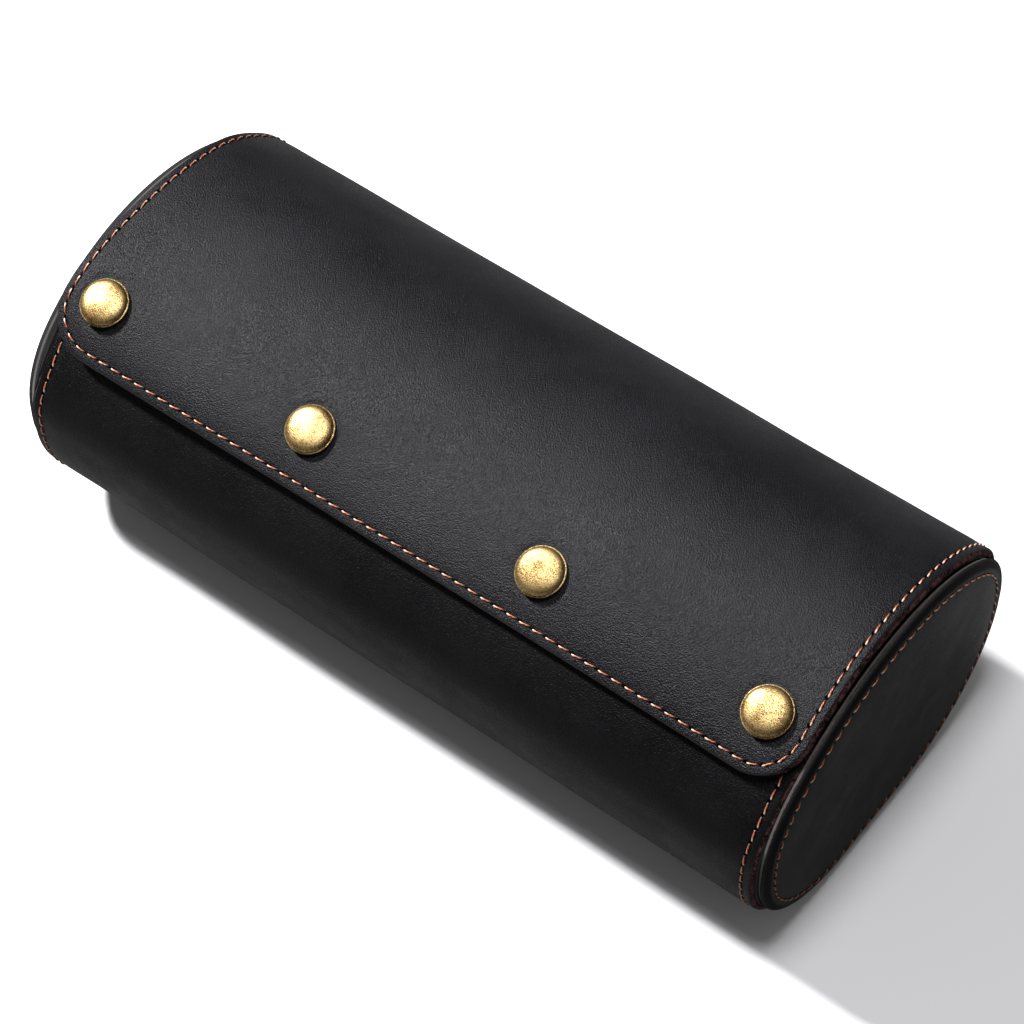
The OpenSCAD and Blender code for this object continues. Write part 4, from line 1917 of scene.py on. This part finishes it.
@dataclass
class EndPanel:
    """Padded oval panel that closes one end of the roll."""

    hide: Material
    raw: Material
    stitches: StitchTree
    side: int
    word: str
    tuck: float
    seam_in: float = 3.5
    seam_h: float = 2.3
    raw_rows: tuple[int, int] = (3, 4)
    steps: int = 300
    padding: float = 0.05
    middle_rim: float = 30.0

    # Distance from the edge, and height over the inner face.
    PROFILE = (
        (1.1, 1.6), (1.1, 0.0), (0.9, 0.0), (0.8, 0.25), (0.55, 0.5), (0.15, 0.72), (0.0, 0.98), (0.08, 1.3),
        (0.32, 1.64), (0.7, 1.95), (1.1, 2.18), (1.6, 2.36), (2.1, 2.45), (2.6, 2.44), (3.05, 2.36),
        (3.5, 2.3), (3.95, 2.36), (4.5, 2.5), (5.4, 2.7), (6.8, 2.86), (9.0, 3.0), (12.2, 3.06),
        (16.2, 3.12), (20.0, 3.16), (24.0, 3.18), (28.0, 3.2),
    )
    INNER_RINGS = (0.72, 0.45, 0.2)

    def outline(self) -> tuple[Numbers, Numbers, Numbers, Numbers]:
        """Points round the panel's outline.

        Returns:
            y, z, and the two parts of the outward normal.
        """
        oval = SIZES.oval()
        return oval.frame(np.linspace(0, oval.length, self.steps, endpoint=False))

    def rings(self) -> tuple[Numbers, list[float]]:
        """Rings of points from the pocket's edge to the middle.

        Returns:
            Points of all rings, and the rings' distances from the edge.
        """
        y, z, ny, nz = self.outline()
        rings, insets = [], []
        for inset, height in self.PROFILE:
            lift = np.zeros(self.steps) + height
            if inset > self.seam_in:
                lift = lift + self.padding * np.sin(y / 9 + 1) * np.cos(z / 7)
            inward = inset + self.tuck
            rings.append(np.stack([lift, y - inward * ny, z - inward * nz], -1))
            insets.append(inset)
        widest = rings[-1]
        middle = widest.mean(0)
        for share in self.INNER_RINGS:
            rings.append(middle + (widest - middle) * share)
            insets.append(self.middle_rim)
        return np.array(rings), insets

    def build(self) -> list[Object]:
        """Makes the panel's leather and its ring of stitches.

        Returns:
            The pieces.
        """
        seam_in = self.seam_in + self.tuck
        stitch_count = self.stitches.count(SIZES.oval().length - 2 * math.pi * seam_in)
        y, z, ny, nz = self.outline()
        line = np.stack([y - seam_in * ny, z - seam_in * nz], -1)
        hops = np.linalg.norm(np.roll(line, -1, 0) - line, axis=1)
        panel = self.leather(np.concatenate([[0], np.cumsum(hops)[:-1]]) / hops.sum() * stitch_count)
        x = np.full(self.steps + 1, self.side * (SIZES.core_len / 2 + self.seam_h))
        around = np.concatenate([[0], np.cumsum(hops)]) / hops.sum()
        wanted = (np.arange(stitch_count * PATH_STEPS - 3) / PATH_STEPS + 0.5) / stitch_count
        closed = np.append(line, line[:1], 0)
        path = np.stack([np.interp(wanted, around, v) for v in (x, *closed.T)], -1)
        ups = np.tile([float(self.side), 0.0, 0.0], (len(path), 1))
        thread = self.stitches.sew(f"stitches_end_{self.word}", path, ups, stitch_count)
        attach(thread, Body.TROUGH.value)
        return [panel, thread]

    def leather(self, along: Numbers) -> Object:
        """Makes the panel's leather.

        Args:
            along: Length along the seam of the points of a ring, in stitches.

        Returns:
            The piece.
        """
        rings, insets = self.rings()
        count = self.steps
        points = rings.reshape(-1, 3)
        points = np.concatenate([points, [points[-count:].mean(0), points[:count].mean(0)]])
        points[:, 0] = self.side * (SIZES.core_len / 2 + points[:, 0])
        faces = ring_quads(len(rings), count)
        first, last = self.raw_rows
        finish = [int(first <= number // count <= last) for number in range(len(faces))]
        top, low = len(points) - 2, len(points) - 1
        base = (len(rings) - 1) * count
        for i in range(count):
            n = (i + 1) % count
            faces += [(base + i, base + n, top), (n, i, low)]
        finish += [0] * (2 * count)
        seam = np.concatenate([np.tile(along, len(rings)), [0, 0]])
        rim = np.concatenate([np.repeat(insets, count), [self.middle_rim] * 2])
        shell = Shell(points, faces, finish, sewing_marks(rim, seam, self.seam_in, rim + FAR_STUD))
        panel = shell.build(f"end_panel_{self.word}", [self.hide, self.raw], Body.TROUGH)
        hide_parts(f"end_leather_{self.word}")
        return panel


# Press studs.


@dataclass
class PressStud:
    """One press stud: cap and socket on the flap, stud on the front wall."""

    brass: Material
    plain: Material
    number: int
    lean: float = 0.13
    stand: float = 0.4
    socket_at: float = -1.4
    stud_sunk: float = 1.35
    slope_reach: float = 4.0
    sharp_turn: float = 50
    segments: int = 72

    # Radius and height of each ring, from the top to the bottom.
    CAP = (
        (0.0, 2.5), (0.8, 2.487), (1.6, 2.445), (2.4, 2.375), (3.2, 2.27), (3.9, 2.14), (4.5, 1.98),
        (5.0, 1.79), (5.35, 1.6), (5.62, 1.38), (5.82, 1.16), (5.94, 0.95), (5.96, 0.78), (5.9, 0.64),
        (5.82, 0.56), (5.84, 0.49), (5.95, 0.46), (6.2, 0.44), (6.26, 0.37), (6.24, 0.26), (6.1, 0.17),
        (5.8, 0.12), (5.2, 0.05), (4.2, -0.02), (2.6, -0.2), (1.7, -0.45), (1.6, -0.7), (1.6, -2.2),
        (1.55, -2.5), (0.0, -2.5),
    )
    SOCKET = (
        (0.0, -0.3), (1.5, -0.3), (4.9, -0.3), (5.15, -0.4), (5.2, -0.6), (5.2, -1.4), (5.12, -1.62),
        (4.9, -1.7), (4.2, -1.72), (3.6, -1.68), (3.35, -1.55), (3.3, -1.4), (3.3, -0.75),
        (2.3, -0.72), (2.25, -0.95), (0.0, -0.98),
    )
    STUD = (
        (0.0, 2.5), (0.7, 2.46), (1.3, 2.3), (1.75, 2.0), (2.02, 1.6), (2.1, 1.2), (2.0, 0.95), (1.9, 0.75),
        (2.1, 0.62), (2.6, 0.6), (3.9, 0.6), (4.2, 0.5), (4.3, 0.3), (4.25, 0.05), (4.1, 0.0), (0.0, 0.0),
    )

    def slope(self, x: float, run: float, along_x: float, along_run: float) -> float:
        """Slope of the leather under the cap in one direction.

        Args:
            x: Place of the stud across the roll.
            run: Its length along the wrap.
            along_x: Part of the direction across the roll.
            along_run: Part of the direction along the wrap.

        Returns:
            Rise over length.
        """
        far = np.array([-self.slope_reach, self.slope_reach])
        rise = RELIEF.slow(x + far * along_x, run + far * along_run)
        return float(rise[1] - rise[0]) / (2 * self.slope_reach)

    def lathe(
        self, profile: Sequence[tuple[float, float]], height: float, lifted: bool, lean: float = 0.0
    ) -> Shell:
        """Turns a profile round the stud's own axis.

        Args:
            profile: Radius and height of each ring, from the top to the bottom.
            height: Height of its zero above the wrap's outer face.
            lifted: Whether the leather's slow rise lifts the piece.
            lean: Slope that the piece has on top of the leather's own.

        Returns:
            The closed shell.
        """
        x = SNAP_X[self.number - 1]
        run = TOP_RUN + SIZES.snap_reach
        here = np.array([run])
        rise = float(RELIEF.slow(np.array([x]), here)[0]) if lifted else 0.0
        seat = WRAP.place(np.array([x]), here, height + rise)[0]
        _, _, ny, nz = WRAP.frame(here)
        out = np.array([0.0, ny[0], nz[0]])
        side = np.array([1.0, 0.0, 0.0])
        if lifted:
            tip = self.slope(x, run, 0.0, 1.0) + lean
            out = out - side * self.slope(x, run, 1.0, 0.0) + np.cross(out, side) * tip
            out = out / np.linalg.norm(out)
            side = np.cross(np.cross(out, side), out)
            side = side / np.linalg.norm(side)
        ahead = np.cross(out, side)
        turns = np.linspace(0, 2 * math.pi, self.segments, endpoint=False)
        ring = np.cos(turns)[:, None] * side + np.sin(turns)[:, None] * ahead
        inner = profile[1:-1]
        points = [seat + out * profile[0][1]]
        points += [p for radius, up in inner for p in seat + ring * radius + out * up]
        points.append(seat + out * profile[-1][1])
        n = self.segments
        faces: list[tuple[int, ...]] = [(0, 1 + i, 1 + (i + 1) % n) for i in range(n)]
        for j in range(len(inner) - 1):
            for i in range(n):
                a, b = 1 + j * n + i, 1 + j * n + (i + 1) % n
                faces.append((a, a + n, b + n, b))
        base = 1 + (len(inner) - 1) * n
        faces += [(base + i, len(points) - 1, base + (i + 1) % n) for i in range(n)]
        return Shell(np.array(points), faces)

    def build(self) -> list[Object]:
        """Makes the cap, the socket and the stud.

        Returns:
            The pieces.
        """
        number = self.number
        cap = self.lathe(self.CAP, self.stand, True, self.lean)
        cap = cap.build(f"cap_{number}", [self.brass], Body.FLAP_FRONT)
        socket = self.lathe(self.SOCKET, self.socket_at, True)
        socket = socket.build(f"socket_{number}", [self.plain], Body.FLAP_FRONT)
        seat = -(SIZES.lining_depth + SIZES.flap_air) - self.stud_sunk
        stud = self.lathe(self.STUD, seat, False)
        stud = stud.build(f"stud_{number}", [self.plain], Body.TROUGH)
        for piece, node, slot in (
            (cap, f"snap_cap_{number}", Slot.BRASS),
            (socket, f"snap_socket_{number}", Slot.STUD_BRASS),
            (stud, f"snap_stud_{number}", Slot.STUD_BRASS),
        ):
            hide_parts(node)
            sharpen(piece.data, self.sharp_turn)
        return [cap, socket, stud]


# Inside.


@dataclass
class Divider:
    """Covered wall between two compartments, with a soft top edge."""

    suede: Material
    word: str
    weld: float = 0.02
    flat_turn: float = 1
    corner_turn: float = 40
    round_r: float = 0.7
    sharp_turn: float = 35

    def build(self) -> Object:
        """Makes the wall from the node's outline, with rounded edges.

        Returns:
            The piece.
        """
        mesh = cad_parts[f"divider_{self.word}"].data.copy()
        work = bmesh.new()
        work.from_mesh(mesh)
        bmesh.ops.remove_doubles(work, verts=work.verts, dist=self.weld * MM)
        flat = math.radians(self.flat_turn)
        bmesh.ops.dissolve_limit(work, angle_limit=flat, verts=work.verts, edges=work.edges)
        bmesh.ops.recalc_face_normals(work, faces=work.faces)
        least = math.radians(self.corner_turn)
        sharp = [e for e in work.edges if len(e.link_faces) == 2 and e.calc_face_angle(0) > least]
        bmesh.ops.bevel(work, geom=sharp, offset=self.round_r * MM, segments=3, profile=0.5, affect="EDGES")
        for face in work.faces:
            face.smooth = True
        work.to_mesh(mesh)
        work.free()
        dress(mesh, self.suede)
        made = put_in_scene(f"divider_suede_{self.word}", mesh)
        sharpen(mesh, self.sharp_turn)
        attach(made, Body.TROUGH.value)
        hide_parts(f"divider_{self.word}")
        return made


@dataclass
class Pillow:
    """Watch pillow: a soft oval block that a watch strap closes round."""

    suede: Material
    word: str
    swell: float = 1.6
    sides: int = 64
    rings: int = 44
    voxel: float = 3.2
    end_square: float = 6.0
    long_square: float = 4.5
    round_square: float = 2.4
    taper: float = 0.05
    pressure: float = 3.0
    stiffness: float = 25
    cloth_frames: int = 16
    seam_at: float = 0.84
    seam_wide: float = 0.035
    seam_draw: float = 0.035

    def form(self, low: Vector, high: Vector) -> Object:
        """Makes the slack form inside the node's box.

        Args:
            low: Lowest corner of the node.
            high: Highest corner of the node.

        Returns:
            The form.
        """
        centre, half = (low + high) / 2, (high - low) / 2 - Vector((self.swell,) * 3) * MM
        points = []

        def bow(value: float, square: float) -> float:
            """Rounded power curve of a direction.

            Args:
                value: Cosine or sine of the direction.
                square: How square the curve is; 2 is round.

            Returns:
                Place on the curve, from -1 to 1.
            """
            return math.copysign(abs(value) ** (2 / square), value)

        for j in range(1, self.rings):
            a = math.pi * j / self.rings
            u, s = -bow(math.cos(a), self.end_square), bow(math.sin(a), self.long_square)
            s *= 1 - self.taper * u * u
            for i in range(self.sides):
                b = 2 * math.pi * i / self.sides
                y = s * half.y * bow(math.cos(b), self.round_square)
                z = s * half.z * bow(math.sin(b), self.round_square)
                points.append((centre.x + u * half.x, centre.y + y, centre.z + z))
        n = self.sides
        faces = ring_quads(self.rings - 1, n)
        faces.append(tuple(range(n))[::-1])
        faces.append(tuple(range((self.rings - 2) * n, (self.rings - 1) * n)))
        mesh = bpy.data.meshes.new(f"pillow_suede_{self.word}")
        mesh.from_pydata(points, [], faces)
        turn_outwards(mesh)
        return put_in_scene(f"pillow_suede_{self.word}", mesh)

    def stuff(self, piece: Object) -> None:
        """Fills the slack form by a short cloth run and keeps the result.

        Args:
            piece: The slack form.
        """
        remesh = piece.modifiers.new("even", "REMESH")
        remesh.mode, remesh.voxel_size = "VOXEL", self.voxel * MM
        apply_modifiers(piece)
        start = np.array([v.co for v in piece.data.vertices])
        cloth = piece.modifiers.new("fill", "CLOTH")
        cloth.settings.use_pressure = True
        cloth.settings.uniform_pressure_force = self.pressure
        cloth.settings.effector_weights.gravity = 0.0
        cloth.settings.tension_stiffness = self.stiffness
        cloth.settings.compression_stiffness = self.stiffness
        cloth.point_cache.frame_start, cloth.point_cache.frame_end = 1, self.cloth_frames
        scene = bpy.context.scene
        for number in range(1, self.cloth_frames + 1):
            scene.frame_set(number)
        apply_modifiers(piece)
        scene.frame_set(1)
        moved = np.array([v.co for v in piece.data.vertices]) - start
        size = np.linalg.norm(moved, axis=1, keepdims=True)
        moved = moved * np.minimum(1, self.swell * MM / np.maximum(size, 1e-9))
        piece.data.vertices.foreach_set("co", (start + moved).astype(np.float32).ravel())

    def build(self) -> Object:
        """Makes the stuffed pillow, with its two end seams.

        Returns:
            The piece.
        """
        low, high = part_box(f"pillow_{self.word}")
        piece = self.form(low, high)
        self.stuff(piece)
        smooth = piece.modifiers.new("smooth", "SUBSURF")
        smooth.levels = smooth.render_levels = 1
        apply_modifiers(piece)
        self.pull_seams(piece, low, high)
        dress(piece.data, self.suede)
        piece.data.polygons.foreach_set("use_smooth", [True] * len(piece.data.polygons))
        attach(piece, f"pillow_{self.word}")
        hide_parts(f"pillow_{self.word}")
        return piece

    def pull_seams(self, piece: Object, low: Vector, high: Vector) -> None:
        """Draws the cover in along its two end seams.

        Args:
            piece: The stuffed form.
            low: Lowest corner of the node.
            high: Highest corner of the node.
        """
        co = np.array([v.co for v in piece.data.vertices])
        centre = np.array((low + high) / 2)
        u = np.abs((co[:, 0] - centre[0]) / ((high.x - low.x) / 2))
        draw = 1 - self.seam_draw * np.exp(-(((u - self.seam_at) / self.seam_wide) ** 2))
        co[:, 1:] = centre[1:] + (co[:, 1:] - centre[1:]) * draw[:, None]
        piece.data.vertices.foreach_set("co", co.astype(np.float32).ravel())


# Studio.


Place = tuple[float, float, float]


def aim(made: Object, place: Place, at: Place) -> None:
    """Puts a lamp or camera at a place and turns it towards another.

    Args:
        made: The lamp or camera.
        place: Its place.
        at: Point that it faces.
    """
    made.location = place
    made.rotation_euler = (Vector(at) - Vector(place)).to_track_quat("-Z", "Y").to_euler()


@dataclass(frozen=True)
class Softbox:
    """Rectangular studio lamp aimed at the roll."""

    name: str
    place: Place
    size: float
    watts: float

    def hang(self) -> None:
        """Puts the lamp into the scene."""
        lamp = bpy.data.lights.new(self.name, "AREA")
        lamp.shape, lamp.size, lamp.size_y = "RECTANGLE", self.size, self.size
        lamp.energy = self.watts
        aim(put_in_scene(self.name, lamp), self.place, (0.0, 0.0, 0.04))


@dataclass
class Studio:
    """White table, soft light and the camera. Lengths are in metres."""

    camera_at: Place = (0.29528, -0.38877, 0.69752)
    camera_to: Place = (0.0, 0.0, 0.0412)
    lens: float = 117.47
    shift: tuple[float, float] = (0.006883, -0.014245)
    floor_half: float = 3.0
    floor_seen: Colour = (0.97, 0.97, 0.99)
    floor_bounce: Colour = (0.2, 0.2, 0.2)
    lamps: tuple[Softbox, ...] = (
        Softbox("overhead", (0.08, -0.158, 1.1), 0.26, 6.0),
        Softbox("left", (-0.884, -0.161, 1.083), 0.14, 34.0),
    )
    room: float = 0.17
    room_gloss: float = 0.03

    def build(self) -> None:
        """Sets up the table, the light and the camera."""
        self.table()
        for lamp in self.lamps:
            lamp.hang()
        world = bpy.data.worlds.new("studio")
        bpy.context.scene.world = world
        world.use_nodes = True
        w = Wiring(world.node_tree)
        path = w.add("ShaderNodeLightPath").outputs
        seen = w.math("MAXIMUM", path["Is Camera Ray"], path["Is Transmission Ray"])
        level = w.total((path["Is Glossy Ray"], self.room_gloss - self.room), (self.room, 1))
        back = world.node_tree.nodes["Background"]
        w.fill(back, {"Color": (1.0, 1.0, 1.0), "Strength": w.math("MAXIMUM", level, seen)})
        bpy.context.scene.view_settings.view_transform = "Standard"
        data = bpy.data.cameras.new("camera")
        data.lens, data.sensor_width = self.lens, 36.0
        data.shift_x, data.shift_y = self.shift
        data.clip_start, data.clip_end = 0.05, 20.0
        camera = put_in_scene("camera", data)
        aim(camera, self.camera_at, self.camera_to)
        bpy.context.scene.camera = camera

    def table(self) -> None:
        """Makes the white table top, which throws less light back than it shows."""
        half = self.floor_half
        mesh = bpy.data.meshes.new("table_top")
        corners = [(-half, -half, 0), (half, -half, 0), (half, half, 0), (-half, half, 0)]
        mesh.from_pydata(corners, [], [(0, 1, 2, 3)])
        material = bpy.data.materials.new("table_white")
        material.use_nodes = True
        w = Wiring(material.node_tree)
        seen = w.add("ShaderNodeLightPath").outputs["Is Camera Ray"]
        w.fill(material.node_tree.nodes["Principled BSDF"], {
            "Base Color": w.blend(seen, self.floor_bounce, self.floor_seen),
            "Roughness": 0.8,
            "Specular IOR Level": 0.1,
        })
        dress(mesh, material)
        put_in_scene("table_top", mesh)


def dress(mesh: bpy.types.Mesh, material: Material) -> None:
    """Gives a mesh one material in place of those it has.

    Args:
        mesh: The mesh.
        material: Its material.
    """
    mesh.materials.clear()
    mesh.materials.append(material)


def dress_nodes(finishes: dict[str, Material]) -> None:
    """Gives the CAD nodes that stay visible their materials.

    Args:
        finishes: Material by the beginning of the node's name.
    """
    for name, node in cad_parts.items():
        for start, material in finishes.items():
            if name.startswith(start):
                dress(node.data, material)


# Share that is left of what would stand out below the floor.
PRESSED = 0.05


def rest_on_floor(pieces: Sequence[Object]) -> None:
    """Presses flat what would stand out below the floor: leather and stitches under the roll.

    Args:
        pieces: All pieces, in the rest pose.
    """
    for piece in pieces:
        for vertex in piece.data.vertices:
            if vertex.co.z < 0:
                vertex.co.z *= PRESSED


def main() -> None:
    """Builds the whole roll and its studio."""
    logging.basicConfig(level=logging.INFO, format="%(name)s: %(message)s")
    hide, plain_hide = Hide().make(), Hide("plain_hide", sewn=False).make()
    # Darker, less shiny copy of the hide for the body's stretch of the wrap: painted shade for the shadow
    # that falls on the front wall under the flap's lip.
    shaded_body_hide = Hide(
        "shaded_body_hide", (0.0016, 0.0016, 0.0021), (0.005, 0.005, 0.0058), shine=0.17, grain_depth=0.00014
    ).make()
    # Lighter copy of the hide for the end panels: painted light for the light that the panels catch from the
    # table. Its 3 mm band along the rim is painted shade.
    lit_disc_hide = Hide(
        "lit_disc_hide", (0.0125, 0.0125, 0.0150), (0.036, 0.0355, 0.041), rim_shade_width=3.0, grain_depth=0.00018
    ).make()
    raw, suede, board = RawEdge().make(), Suede().make(), Board().make()
    pillow_suede = Suede("pillow_suede", (0.05, 0.047, 0.044), (0.12, 0.114, 0.107)).make()
    brass, plain = AntiqueBrass().make(), AntiqueBrass("stud_brass").make()
    stitches = StitchTree(Thread().make())
    pieces = Wrap(hide, shaded_body_hide, raw, stitches, EdgeFuzz(raw)).build()
    pieces += Linings(suede, board, plain_hide).build()
    for side, word in SIDES:
        pieces += EndPanel(lit_disc_hide, raw, stitches, side, word, PANEL_TUCK[word]).build()
        pieces.append(Divider(suede, word).build())
    for number in range(1, len(SNAP_X) + 1):
        pieces += PressStud(brass, plain, number).build()
    for word in ("left", "middle", "right"):
        pieces.append(Pillow(pillow_suede, word).build())
    rest_on_floor(pieces)
    dress_nodes({"core_board": board, "end_board": board, "end_lining": suede, "snap_post": plain})
    Studio().build()
    for piece in pieces:
        LOG.info("%s: %d faces", piece.name, len(piece.data.polygons))


if __name__ == "__main__":
    main()
